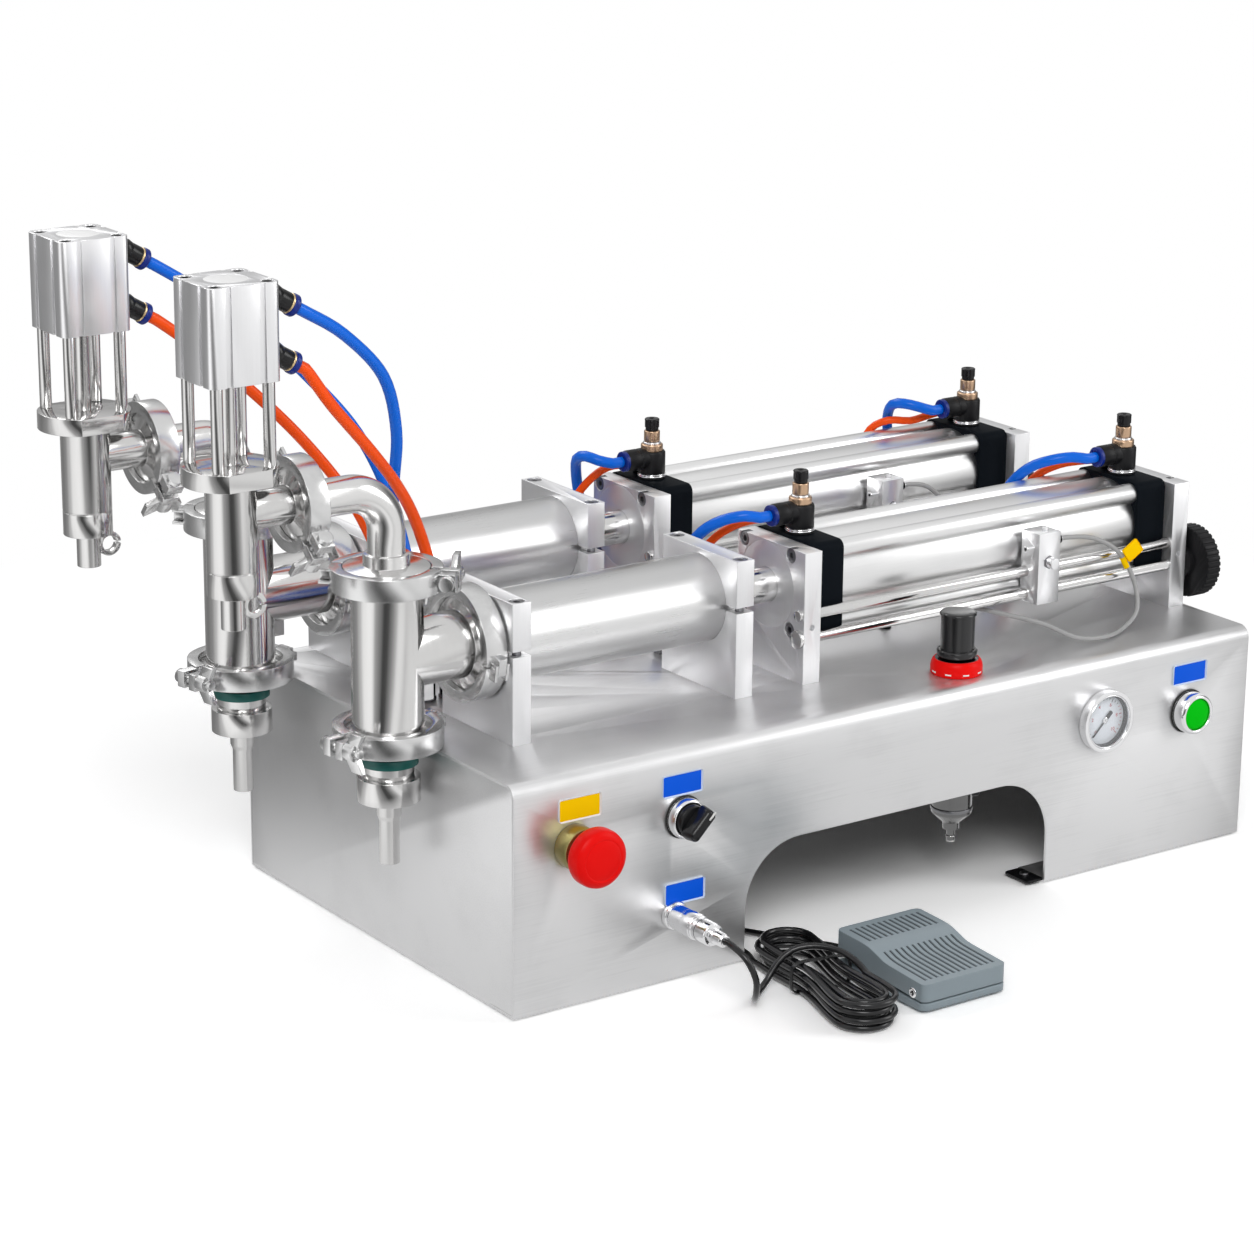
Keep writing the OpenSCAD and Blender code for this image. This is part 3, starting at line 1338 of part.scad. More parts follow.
// Lifting nozzles, from the elbow's axis
nozzle_down = 53;
nozzle_top = 20.5;
nozzle_floor = 6;
nozzle_bore = 13;
tip_r = 8;
tip_bore = 6;
tip_h = 22.5;
nozzle_line_w = 1;
nozzle_line_d = 0.5;
nozzle_line_z = -37;
nozzle_flange_t = 11.5;
nozzle_flat = 27; // the flange's flats from its axis
eye_r = 8.5;
eye_bore = 5.2;
eye_t = 5;
eye_down = 62;
eye_slit = 1.6;
eye_in = 2; // the ring runs into the tip
rod_circle_at = 18.5;
nozzle_rod_r = 4;
stem_r = 5;
plug_r = 9;
plug_t = 8;
cyl_round = 5;
cyl_groove_w = 4;
cyl_groove_d = 1.5;
cyl_groove_at = 12;
cyl_bore = 16;
cyl_floor = 9;
cyl_over = 17; // over the disc at its highest
air_disc_t = 12;
air_disc_in = 4;
cyl_cap_recess_r = 14;
cyl_cap_recess_d = 1;
cyl_bolt_r = 4.5;
cyl_bolt_d = 4;
cyl_port_r = 2.5;
cyl_port_low = 12;
cyl_port_high = 49;
nozzle_head = nozzle_top + nozzle_flange_t;
cyl_z = nozzle_head + nozzle_rod_h;
eye_x = tip_r + eye_r - eye_in;
module nozzle_bodies() color("silver") placed() at_nozzles() difference() {
    union() {
        hole(nozzle_r, -nozzle_down, nozzle_top);
        hole(tip_r, -nozzle_down - tip_h, -nozzle_down);
        translate([0, 0, nozzle_top]) intersection() {
            cylinder(r = reach_left, h = nozzle_flange_t);
            translate([-reach_left, -nozzle_flat, 0])
                cube([2 * reach_left, 2 * nozzle_flat, nozzle_flange_t]);
        }
        along_x(0, 0, 0) cylinder(r = elbow_r, h = nozzle_port_out);
        along_x(nozzle_port_out, 0, 0) mirror([0, 0, 1]) ferrule(nozzle_rim, elbow_r);
        translate([eye_x, eye_t / 2, -eye_down]) rotate([90, 0, 0])
            cylinder(r = eye_r, h = eye_t);
    }
    hole(nozzle_bore, nozzle_floor - nozzle_down, nozzle_top);
    hole(stem_r + fit, nozzle_top - cut, nozzle_head + cut);
    hole(tip_bore, -nozzle_down - tip_h - cut, nozzle_floor - nozzle_down + cut);
    along_x(0, 0, 0) hole(elbow_bore, 0, nozzle_port_out + cut);
    translate([0, 0, nozzle_line_z])
        pipe(nozzle_r + cut, nozzle_r - nozzle_line_d, nozzle_line_w);
    translate([eye_x, eye_t / 2, -eye_down]) rotate([90, 0, 0]) hole(eye_bore, -cut, eye_t + cut);
    translate([eye_x, -eye_t, -eye_down - eye_slit / 2]) cube([2 * eye_r, 2 * eye_t, eye_slit]);
}
module nozzle_cylinders() color("lightgray") placed() at_nozzles() translate([0, 0, cyl_z])
    difference() {
        linear_extrude(nozzle_cyl_h) difference() {
            round_rect(nozzle_cyl_w, nozzle_cyl_w, cyl_round);
            for (a = [0:90:270], y = [-cyl_groove_at, cyl_groove_at])
                rotate(a) translate([nozzle_cyl_w / 2 - cyl_groove_d, y - cyl_groove_w / 2])
                    square([cyl_groove_d + cut, cyl_groove_w]);
        }
        hole(stem_r + fit, -cut, cyl_floor + cut);
        hole(cyl_bore, cyl_floor, cyl_floor + air_disc_in + air_disc_t + nozzle_lift + cyl_over);
        hole(cyl_cap_recess_r, nozzle_cyl_h - cyl_cap_recess_d, nozzle_cyl_h + cut);
        for (x = [-1, 1], y = [-1, 1]) translate([x * rod_circle_at, y * rod_circle_at, 0])
            hole(cyl_bolt_r, nozzle_cyl_h - cyl_bolt_d, nozzle_cyl_h + cut);
        for (z = [cyl_port_low, cyl_port_high]) along_x(0, 0, z)
            hole(cyl_port_r, cyl_bore / 2, nozzle_cyl_w);
    }
module plunger(i) placed() translate([nozzle_at(i), station_y(i), axis_z + nozzle_up]) {
    stem_l = cyl_z + cyl_floor + air_disc_in - nozzle_floor + nozzle_down - plug_t;
    translate([0, 0, nozzle_floor - nozzle_down])
        stack([[plug_r, plug_t], [stem_r, stem_l], [cyl_bore - seal_gap, air_disc_t]]);
}
module front_plunger() color("silver") plunger(0);
module rear_plunger() color("silver") plunger(1);
module nozzle_rods() color("silver") placed() at_nozzles() translate([0, 0, nozzle_head])
    for (x = [-1, 1], y = [-1, 1]) translate([x * rod_circle_at, y * rod_circle_at, 0])
        cylinder(r = nozzle_rod_r, h = nozzle_rod_h);

// Air fittings and tubes
fit_boss_r = 7;
fit_boss_l = 8;
fit_sleeve_r = 6.5;
fit_sleeve_l = 18;
fit_tilt = 30; // degrees below level
bulk_flange_r = 7;
bulk_flange_h = 3;
bulk_sleeve_r = 6.5;
bulk_sleeve_h = 12;
bulk_below = 8;
bulk_nut_r = 7;
bulk_nut_h = 4;
bulkheads = [
    [50, 186], [66, 182], [50, 220], [66, 224],
    [250, 186], [266, 182], [278, 330], [261, 330],
    [548, 180], [564, 176], [572, 330], [543, 330],
];
cable_holes = [for (p = [front_cable_points, rear_cable_points]) p[len(p) - 1]];
bulk_top = deck_z + bulk_flange_h + bulk_sleeve_h;
module air_fittings() color("dimgray") placed() {
    at_nozzles() for (z = [cyl_port_low, cyl_port_high])
        translate([nozzle_cyl_w / 2, 0, cyl_z + z]) rotate([0, 90, 0]) {
            cylinder(r = fit_boss_r, h = fit_boss_l);
            translate([0, 0, fit_boss_l]) {
                sphere(r = fit_boss_r);
                rotate([0, fit_tilt, 0]) cylinder(r = fit_sleeve_r, h = fit_sleeve_l);
            }
        }
    for (p = bulkheads) translate([p[0], p[1], deck_z]) {
        cylinder(r = bulk_flange_r, h = bulk_flange_h);
        hole(bulk_sleeve_r, bulk_flange_h, bulk_flange_h + bulk_sleeve_h);
        hole(bulkhead_r, -bulk_below, 0);
        hole(bulk_nut_r, -sheet_t - bulk_nut_h, -sheet_t);
    }
    for (p = cable_holes) translate([p[0], p[1], deck_z])
        cylinder(r = grommet_ring_r, h = grommet_ring_h);
}
function elbow_end(i, z) = [
    nozzle_at(i) + nozzle_cyl_w / 2 + fit_boss_l + fit_sleeve_l * cos(fit_tilt), station_y(i),
    axis_z + nozzle_up + cyl_z + z - fit_sleeve_l * sin(fit_tilt),
];
function elbow_way(r) = 2 * r * [cos(fit_tilt), 0, -sin(fit_tilt)];
function flow_end(i, k) =
    [flow_xs[k] - flow_port_in - flow_ring_end, station_y(i), axis_z + cap_top + flow_port_up];
function boss_end(i, k) = [
    flow_xs[k] - 2 * small_boss_r, station_y(i) + small_boss_y,
    axis_z + cap_top + small_boss_h - small_boss_r,
];
function bulk_end(k) = [bulkheads[k][0], bulkheads[k][1], bulk_top];
left_way = [-1, 0, 0];
air_high = cyl_port_high;
air_low = cyl_port_low;
// A tube: start, first stretch, points between, bulkhead, radius
air_runs = [
    [elbow_end(0, air_high), elbow_way(air_r), [
        [-50, 120, 442], [-14, 132, 408], [4, 146, 366], [10, 160, 325], [16, 172, 280],
        [30, 182, 235], [46, 186, 205],
    ], 0, air_r],
    [elbow_end(0, air_low), elbow_way(air_r), [
        [-62, 116, 398], [-28, 126, 362], [2, 142, 330], [26, 158, 298], [46, 170, 256],
        [62, 180, 212],
    ], 1, air_r],
    [elbow_end(1, air_high), elbow_way(air_r), [
        [-62, 291, 442], [-20, 287, 410], [16, 279, 374], [46, 266, 334], [62, 250, 288],
        [68, 234, 236],
    ], 3, air_r],
    [elbow_end(1, air_low), elbow_way(air_r), [
        [-66, 289, 404], [-30, 281, 372], [4, 268, 334], [32, 254, 292], [46, 238, 250],
        [50, 226, 212],
    ], 2, air_r],
    [flow_end(0, 0), 2 * air_r * left_way, [
        [268, 116, 276], [257, 127, 272], [251, 143, 261], [249, 161, 241], [250, 178, 214],
    ], 4, air_r],
    [boss_end(0, 0), 2 * small_r * left_way, [
        [288, 131, 267], [273, 135, 264], [264, 148, 252], [262, 164, 232], [265, 178, 206],
    ], 5, small_r],
    [flow_end(1, 0), 2 * air_r * left_way, [
        [268, 296, 277], [263, 305, 279], [264, 318, 274], [271, 329, 258], [277, 333, 235],
        [278, 331, 208],
    ], 6, air_r],
    [boss_end(1, 0), 2 * small_r * left_way, [
        [287, 311, 266], [276, 315, 259], [268, 323, 245], [263, 330, 226], [261, 331, 204],
    ], 7, small_r],
    [flow_end(0, 1), 2 * air_r * left_way, [
        [570, 116, 276], [556, 124, 274], [546, 138, 266], [542, 156, 247], [545, 173, 217],
    ], 8, air_r],
    [boss_end(0, 1), 2 * small_r * left_way, [
        [590, 131, 267], [575, 137, 265], [562, 147, 256], [557, 161, 236], [561, 173, 208],
    ], 9, small_r],
    [flow_end(1, 1), 2 * air_r * left_way, [
        [569, 296, 278], [561, 303, 280], [559, 315, 277], [565, 328, 263], [571, 333, 239],
        [572, 331, 209],
    ], 10, air_r],
    [boss_end(1, 1), 2 * small_r * left_way, [
        [590, 310, 265], [574, 311, 263], [558, 318, 264], [548, 328, 256], [544, 333, 237],
        [543, 331, 207],
    ], 11, small_r],
];
function air_route(a) = route(
    concat([a[0], a[0] + a[1]], a[2], [bulk_end(a[3]) + [0, 0, 2 * a[4]], bulk_end(a[3])]),
    5 * a[4]
);
module air_tubes() color("royalblue") placed()
    for (a = air_runs) tube(air_route(a), a[4], 8);

cover_shell();
left_end_panel();
right_end_panel();
rubber_feet();
socket_screws();
estop_base();
estop_head();
switch_bezels();
selector_knob();
start_button();
gauge_case();
gauge_pointer();
gauge_lens();
regulator_body();
regulator_ring();
regulator_knob();
pedal_socket();
pedal_plug();
solenoid_valves();
control_box();
rear_inlets();
air_fittings();
pedal_base();
pedal_treadle();
pedal_pivot();
cord_lead();
cord_hank();
cord_tail();
cord_tie();
clamp_plates();
cylinder_plates();
barrels();
front_piston();
rear_piston();
cylinder_tubes();
cylinder_caps();
guide_rods();
front_adjusting_wheel();
rear_adjusting_wheel();
front_sensor_bracket();
rear_sensor_bracket();
front_sensor_cable();
rear_sensor_cable();
flow_controls();
front_left_flow_knob();
front_right_flow_knob();
rear_left_flow_knob();
rear_right_flow_knob();
valve_bodies();
check_valves();
elbow_pipes();
tri_clamps();
inlet_spouts();
gaskets();
nozzle_bodies();
nozzle_cylinders();
front_plunger();
rear_plunger();
nozzle_rods();
air_tubes();
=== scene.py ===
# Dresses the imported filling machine: camera, light, finishes, modelled pieces and cords.
import bpy
import json
import math
from mathutils import Matrix, Vector


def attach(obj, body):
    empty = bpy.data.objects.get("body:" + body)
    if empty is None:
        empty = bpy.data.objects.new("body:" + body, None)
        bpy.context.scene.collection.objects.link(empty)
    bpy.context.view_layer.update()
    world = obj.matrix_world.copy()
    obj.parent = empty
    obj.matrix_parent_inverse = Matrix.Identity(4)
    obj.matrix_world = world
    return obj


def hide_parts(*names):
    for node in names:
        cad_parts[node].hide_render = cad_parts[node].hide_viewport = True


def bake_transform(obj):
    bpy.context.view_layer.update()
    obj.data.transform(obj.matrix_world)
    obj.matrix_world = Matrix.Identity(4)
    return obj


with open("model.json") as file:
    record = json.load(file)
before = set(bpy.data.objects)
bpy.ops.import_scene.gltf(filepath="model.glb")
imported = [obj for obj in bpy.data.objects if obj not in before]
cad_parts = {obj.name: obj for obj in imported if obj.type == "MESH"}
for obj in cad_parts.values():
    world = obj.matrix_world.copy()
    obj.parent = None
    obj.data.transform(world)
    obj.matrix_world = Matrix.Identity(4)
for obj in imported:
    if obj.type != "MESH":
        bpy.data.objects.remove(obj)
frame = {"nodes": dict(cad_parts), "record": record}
nodes = frame["nodes"]
bodyOf = {n: b for b, members in frame["record"]["behaviour"]["bodies"].items() for n in members}
slotOf = {s["node"]: s["material_slot"] for s in frame["record"]["subparts"]}
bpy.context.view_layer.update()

# Where the frame's origin, the deck, the stations, the heads and the caps are from the housing's
# front left corner, in millimetres
machine = {"originX": 240.25, "originY": 113.5, "deck": 162, "stationY": (112.5, 292.5),
           "nozzleX": (-138.5, -148.5), "capX": (313.5, 616)}
stations = dict(zip(("front", "rear"), machine["stationY"]))
heads = list(zip(machine["nozzleX"], machine["stationY"]))


def at(x, y, z):
    return Vector((x - machine["originX"], y - machine["originY"], z)) / 1000


zero = Vector((0, 0, 0))

# Camera
shot = {"place": at(-1226.92, -1873.01, 953.94), "yaw": 35.0565, "pitch": 16.9784,
        "roll": 0.5082, "lens": 106.517, "sensor": 36, "far": 50}


def setCamera():
    yaw, pitch, roll = (math.radians(shot[k]) for k in ("yaw", "pitch", "roll"))
    ahead = Vector((math.sin(yaw) * math.cos(pitch), math.cos(yaw) * math.cos(pitch),
                    -math.sin(pitch)))
    level = Vector((math.cos(yaw), -math.sin(yaw), 0))
    lift = level.cross(ahead)
    right = math.cos(roll) * level + math.sin(roll) * lift
    up = math.cos(roll) * lift - math.sin(roll) * level
    data = bpy.data.cameras.new("photoCamera")
    data.lens = shot["lens"]
    data.sensor_width = shot["sensor"]
    data.clip_end = shot["far"]
    camera = bpy.data.objects.new("photoCamera", data)
    turn = Matrix((right, up, -ahead)).transposed().to_4x4()
    camera.matrix_world = Matrix.Translation(shot["place"]) @ turn
    bpy.context.scene.collection.objects.link(camera)
    bpy.context.scene.camera = camera


setCamera()
print("stage: camera set")

# Finishes. What several of them use is a node group: brushed lines, smudges, moulded grain


def newNode(tree, kind, values=None, **settings):
    made = tree.nodes.new("ShaderNode" + kind)
    for key, value in settings.items():
        setattr(made, key, value)
    for key, value in (values or {}).items():
        made.inputs[key].default_value = value
    return made


# Each wire: a node and its output, a node and its input
def wire(tree, *wires):
    for start, output, end, entry in wires:
        tree.links.new(start.outputs[output], end.inputs[entry])


def newGroup(name, inputs, outputs):
    group = bpy.data.node_groups.new(name, "ShaderNodeTree")
    for label, kind, value in inputs:
        socket = group.interface.new_socket(label, in_out="INPUT", socket_type=kind)
        socket.default_value = value
    for label in outputs:
        group.interface.new_socket(label, in_out="OUTPUT", socket_type="NodeSocketFloat")
    return group, group.nodes.new("NodeGroupInput"), group.nodes.new("NodeGroupOutput")


def makeLineGroup():
    group, start, end = newGroup("brushedLines", [
        ("Spacing", "NodeSocketVector", (40, 2500, 2500))], ["Mask", "Height"])
    place = newNode(group, "TexCoord")
    stretch = newNode(group, "VectorMath", operation="MULTIPLY")
    fine = newNode(group, "TexNoise", {"Scale": 1, "Detail": 4, "Roughness": 0.7})
    spread = newNode(group, "MapRange", {"From Min": 0.3, "From Max": 0.7})
    wire(group, (place, "Object", stretch, 0), (start, "Spacing", stretch, 1),
         (stretch, 0, fine, "Vector"), (fine, "Fac", spread, "Value"),
         (spread, "Result", end, "Mask"), (fine, "Fac", end, "Height"))
    return group


def makeNoiseGroup(name, size, detail, low, high):
    group, start, end = newGroup(name, [("Scale", "NodeSocketFloat", size)], ["Mask"])
    place = newNode(group, "TexCoord")
    noise = newNode(group, "TexNoise", {"Detail": detail})
    spread = newNode(group, "MapRange", {"From Min": low, "From Max": high})
    wire(group, (place, "Object", noise, "Vector"), (start, "Scale", noise, "Scale"),
         (noise, "Fac", spread, "Value"), (spread, "Result", end, "Mask"))
    return group


lineGroup = makeLineGroup()
smudgeGroup = makeNoiseGroup("smudges", size=22, detail=3, low=0.35, high=0.7)
grainGroup = makeNoiseGroup("mouldedGrain", size=2600, detail=2, low=0.2, high=0.8)

# Colour, metallic, roughness, specular level, how close brushed lines are along each axis (None
# is moulded grain), their depth, how much colour and roughness wander, softened edges in mm
looks = {
    "housingSteel": ((0.74, 0.74, 0.745), 0.85, 0.4, 0.5, (12, 1000, 1000), 0.08, 0.1, 0.18, 0.5),
    "groundSteel": ((0.80, 0.80, 0.81), 0.9, 0.44, 0.5, (700, 700, 30), 0.03, 0.05, 0.08, 0.5),
    "castSteel": ((0.66, 0.66, 0.66), 1, 0.26, 0.5, (90, 90, 90), 0.01, 0.12, 0.14, 0.6),
    "polishedSteel": ((0.64, 0.635, 0.63), 1, 0.15, 0.5, (500, 500, 40), 0.004, 0.04, 0.06, 0.5),
    "pipeSteel": ((0.70, 0.695, 0.69), 1, 0.20, 0.5, (300, 300, 300), 0.004, 0.04, 0.06, 0.4),
    "barrelSteel": ((0.72, 0.72, 0.72), 1, 0.30, 0.5, (30, 900, 900), 0.02, 0.04, 0.08, 0.4),
    "paleAluminium": ((0.84, 0.84, 0.85), 1, 0.34, 0.5, (900, 900, 25), 0.012, 0.04, 0.07, 0.3),
    "tubeAluminium": ((0.77, 0.77, 0.77), 1, 0.34, 0.5, (25, 900, 900), 0.012, 0.04, 0.07, 0.3),
    # near white and half diffuse: partly the disc's own pale tone, partly painted sheen so it
    # looks bright whatever it mirrors
    "discPaleAndPaintedSheen": ((0.93, 0.93, 0.93), 0.5, 0.40, 0.5, (400, 400, 400), 0.01, 0.03, 0.06, 0.3),
    "blackAluminium": ((0.006, 0.008, 0.011), 0, 0.50, 0.02, None, 0.03, 0.2, 0.10, 0.5),
    # painted shade: the housing's inner faces, darkened to stand in for the shade inside it
    "shadedInsideSteel": ((0.13, 0.13, 0.13), 0.3, 0.55, 0.5, (12, 1000, 1000), 0.03, 0.10, 0.10, 0.3),
    # painted shade: steel darkened far below bare steel, for the regulator bowl in the shade under
    # the housing
    "bowlSteel": ((0.17, 0.17, 0.17), 1, 0.20, 0.5, (200, 200, 200), 0.01, 0.10, 0.10, 0.4),
    "knobBlack": ((0.010, 0.010, 0.011), 0, 0.15, 0.50, None, 0.02, 0.2, 0.04, 0.2),
    "chrome": ((0.80, 0.80, 0.81), 1, 0.10, 0.5, (80, 80, 80), 0.002, 0.02, 0.04, 0.3),
    "darkSteel": ((0.22, 0.22, 0.23), 1, 0.32, 0.5, None, 0.02, 0.15, 0.10, 0.2),
    "brass": ((0.66, 0.50, 0.28), 1, 0.28, 0.5, (300, 300, 300), 0.01, 0.10, 0.10, 0.2),
    "copper": ((0.56, 0.38, 0.25), 1, 0.30, 0.5, (300, 300, 40), 0.01, 0.10, 0.10, 0.2),
    "oliveBrass": ((0.36, 0.31, 0.12), 0.9, 0.34, 0.5, (200, 200, 900), 0.02, 0.16, 0.10, 0.3),
    "blackPlastic": ((0.006, 0.006, 0.007), 0, 0.42, 0.20, None, 0.05, 0.2, 0.12, 0.3),
    "glossBlack": ((0.007, 0.007, 0.008), 0, 0.22, 0.28, None, 0.01, 0.2, 0.08, 0.3),
    "redPlastic": ((0.86, 0.004, 0.003), 0, 0.36, 0.10, None, 0.02, 0.05, 0.08, 0.3),
    "greenPlastic": ((0.002, 0.58, 0.008), 0, 0.34, 0.02, None, 0.01, 0.04, 0.06, 0.3),
    "whitePlastic": ((0.82, 0.82, 0.80), 0, 0.38, 0.5, None, 0.02, 0.03, 0.08, 0.2),
    "greenSeal": ((0.004, 0.115, 0.10), 0, 0.30, 0.40, None, 0.03, 0.10, 0.08, 0.3),
    "greyPlastic": ((0.42, 0.42, 0.42), 0, 0.40, 0.5, None, 0.03, 0.06, 0.08, 0.4),
    "pedalPlastic": ((0.265, 0.320, 0.352), 0, 0.38, 0.45, None, 0.05, 0.06, 0.10, 0.8),
    # painted shade: dark strips over the treadle that stand in for the shade in its grooves
    "pedalGrooveShade": ((0.030, 0.038, 0.045), 0, 0.5, 0.30, None, 0.06, 0.08, 0.08, 0.3),
    "rubber": ((0.014, 0.014, 0.014), 0, 0.60, 0.30, None, 0.08, 0.2, 0.10, 0.4),
    "cordJacket": ((0.005, 0.005, 0.006), 0, 0.24, 0.45, None, 0.015, 0.2, 0.08, 0),
    "blueTube": ((0.001, 0.140, 0.74), 0, 0.26, 0.22, None, 0.01, 0.08, 0.06, 0),
    "orangeTube": ((0.96, 0.085, 0.003), 0, 0.28, 0.20, None, 0.01, 0.04, 0.06, 0),
    "greyCable": ((0.36, 0.36, 0.36), 0, 0.40, 0.35, None, 0.03, 0.06, 0.08, 0),
    "blueRing": ((0.002, 0.018, 0.20), 0, 0.30, 0.30, None, 0.02, 0.08, 0.08, 0.2),
    "blueLabel": ((0.002, 0.105, 0.76), 0, 0.40, 0.10, None, 0.01, 0.05, 0.08, 0),
    "paleLabel": ((0.66, 0.76, 0.90), 0, 0.38, 0.20, None, 0.01, 0.04, 0.06, 0),
    "yellowLabel": ((0.98, 0.60, 0.001), 0, 0.40, 0.02, None, 0.01, 0.04, 0.08, 0),
    "darkLabel": ((0.80, 0.80, 0.84), 0, 0.38, 0.20, None, 0.01, 0.04, 0.06, 0),
    "dialWhite": ((0.90, 0.94, 1.0), 0, 0.45, 0.25, None, 0.01, 0.02, 0.05, 0),
    "dialRed": ((0.50, 0.03, 0.05), 0, 0.45, 0.20, None, 0.01, 0.03, 0.05, 0),
    "darkWell": ((0.012, 0.012, 0.013), 0, 0.55, 0.25, None, 0.03, 0.1, 0.08, 0),
}
bumpHeight = 0.001
leastRough = 0.02
finishes = {}


def newMaterial(name):
    material = bpy.data.materials.new(name)
    material.use_nodes = True
    return material, material.node_tree, material.node_tree.nodes["Principled BSDF"]


def finish(name):
    if name in finishes:
        return finishes[name]
    color, metal, rough, shine, lines, depth, vary, swing, edge = looks[name]
    material, tree, shader = newMaterial(name)
    shader.inputs["Metallic"].default_value = metal
    shader.inputs["Specular IOR Level"].default_value = shine
    material.diffuse_color = (*color, 1)
    smudge = newNode(tree, "Group", node_tree=smudgeGroup)
    tone = newNode(tree, "Mix", {"A": (*[c * (1 - vary) for c in color], 1),
                                 "B": (*[min(1, c * (1 + vary)) for c in color], 1)},
                   data_type="RGBA")
    roughness = newNode(tree, "MapRange", {"To Min": max(leastRough, rough - swing / 2),
                                           "To Max": rough + swing / 2})
    if lines:
        pattern = newNode(tree, "Group", {"Spacing": lines}, node_tree=lineGroup)
    else:
        pattern = newNode(tree, "Group", node_tree=grainGroup)
    height = "Height" if lines else "Mask"
    bump = newNode(tree, "Bump", {"Distance": bumpHeight, "Strength": depth})
    both = newNode(tree, "Math", operation="ADD", use_clamp=True)
    half = newNode(tree, "Math", {1: 0.5}, operation="MULTIPLY")
    wire(tree, (pattern, height, bump, "Height"), (pattern, "Mask", both, 0),
         (smudge, "Mask", both, 1), (both, 0, half, 0), (half, 0, tone, "Factor"),
         (half, 0, roughness, "Value"), (tone, "Result", shader, "Base Color"),
         (roughness, "Result", shader, "Roughness"), (bump, "Normal", shader, "Normal"))
    if edge:
        soft = newNode(tree, "Bevel", {"Radius": edge / 1000}, samples=4)
        wire(tree, (soft, "Normal", bump, "Normal"))
    finishes[name] = material
    return material


# Clear plastic: colour, share that isn't seen through, least and most roughness
clearLooks = {"clearLens": ((0.95, 0.97, 1.0), 0.10, 0.02, 0.07),
              "clearLamp": ((0.92, 0.94, 0.96), 0.45, 0.06, 0.11)}


def makeClearFinishes():
    for name, (color, alpha, low, high) in clearLooks.items():
        finishes[name], tree, shader = newMaterial(name)
        shader.inputs["Base Color"].default_value = (*color, 1)
        shader.inputs["Alpha"].default_value = alpha
        shader.inputs["Metallic"].default_value = 0
        haze = newNode(tree, "Group", node_tree=smudgeGroup)
        spread = newNode(tree, "MapRange", {"To Min": low, "To Max": high})
        wire(tree, (haze, "Mask", spread, "Value"), (spread, "Result", shader, "Roughness"))


makeClearFinishes()
print("stage: finishes ready")

# Making pieces


def only(obj):
    bpy.ops.object.select_all(action="DESELECT")
    obj.select_set(True)
    bpy.context.view_layer.objects.active = obj


def named(name):
    obj = bpy.context.object
    obj.name = name
    obj.data.name = name
    return obj


def editing(obj, pick="SELECT"):
    only(obj)
    bpy.ops.object.mode_set(mode="EDIT")
    bpy.ops.mesh.select_all(action=pick)


def doneEditing():
    bpy.ops.object.mode_set(mode="OBJECT")


def settle(obj, place, along=(0, 0, 1), spin=0):
    turn = Vector((0, 0, 1)).rotation_difference(Vector(along)).to_matrix().to_4x4()
    obj.matrix_world = (Matrix.Translation(place) @ turn
                        @ Matrix.Rotation(math.radians(spin), 4, "Z"))
    only(obj)
    bpy.ops.object.transform_apply(location=True, rotation=True, scale=True)
    return obj


def rounded(obj, width, segments=2, angle=30):
    only(obj)
    edge = obj.modifiers.new("rounding", "BEVEL")
    edge.width = width / 1000
    edge.segments = segments
    edge.limit_method = "ANGLE"
    edge.angle_limit = math.radians(angle)
    bpy.ops.object.modifier_apply(modifier=edge.name)
    return obj


def smoothed(obj, angle=32):
    only(obj)
    bpy.ops.object.shade_smooth_by_angle(angle=math.radians(angle))
    return obj


# A turned piece: rings of (radius, height) in millimetres, drawn out of a disc ring by ring
def turned(name, rings, look, place=zero, along=(0, 0, 1), sides=64, round=0.25, ring=False):
    bpy.ops.mesh.primitive_circle_add(
        vertices=sides, radius=rings[0][0] / 1000, location=(0, 0, 0),
        fill_type="NOTHING" if ring else "NGON")
    obj = named(name)
    editing(obj)
    bpy.ops.transform.translate(value=(0, 0, rings[0][1] / 1000))
    for (r0, h0), (r1, h1) in zip(rings, rings[1:] + (rings[:1] if ring else [])):
        bpy.ops.mesh.extrude_region_move(
            TRANSFORM_OT_translate={"value": (0, 0, (h1 - h0) / 1000)})
        if r1 != r0:
            bpy.ops.transform.resize(value=(r1 / r0, r1 / r0, 1), center_override=(0, 0, 0))
    bpy.ops.mesh.select_all(action="SELECT")
    bpy.ops.mesh.remove_doubles(threshold=1e-6)
    bpy.ops.mesh.normals_make_consistent(inside=False)
    doneEditing()
    settle(obj, place, along)
    if round:
        rounded(obj, round)
    smoothed(obj)
    obj.data.materials.append(finish(look))
    return obj


# A block with rounded edges, and its upright edges rounded more where corner is given
def block(name, size, place, look, corner=0, round=0.4, along=(0, 0, 1), spin=0, taper=1):
    bpy.ops.mesh.primitive_cube_add(size=1, location=(0, 0, 0))
    obj = named(name)
    obj.scale = Vector(size) / 1000
    bpy.ops.object.transform_apply(scale=True)
    editing(obj, "DESELECT")
    doneEditing()
    if taper != 1:
        for v in obj.data.vertices:
            v.select = v.co.z > 0
        bpy.ops.object.mode_set(mode="EDIT")
        bpy.ops.transform.resize(value=(taper, taper, 1), center_override=(0, 0, 0))
        bpy.ops.mesh.select_all(action="DESELECT")
        doneEditing()
    if corner:
        for e in obj.data.edges:
            a, b = (obj.data.vertices[i].co for i in e.vertices)
            e.select = abs((a - b).normalized().z) > 0.9
        bpy.ops.object.mode_set(mode="EDIT")
        bpy.ops.mesh.select_mode(type="EDGE")
        bpy.ops.mesh.bevel(offset=corner / 1000, segments=6, affect="EDGES")
        bpy.ops.mesh.select_mode(type="VERT")
        doneEditing()
    settle(obj, place, along, spin)
    if round:
        rounded(obj, round)
    smoothed(obj)
    obj.data.materials.append(finish(look))
    return obj


def joined(name, parts):
    bpy.ops.object.select_all(action="DESELECT")
    for part in parts:
        part.select_set(True)
    bpy.context.view_layer.objects.active = parts[0]
    bpy.ops.object.join()
    return named(name)


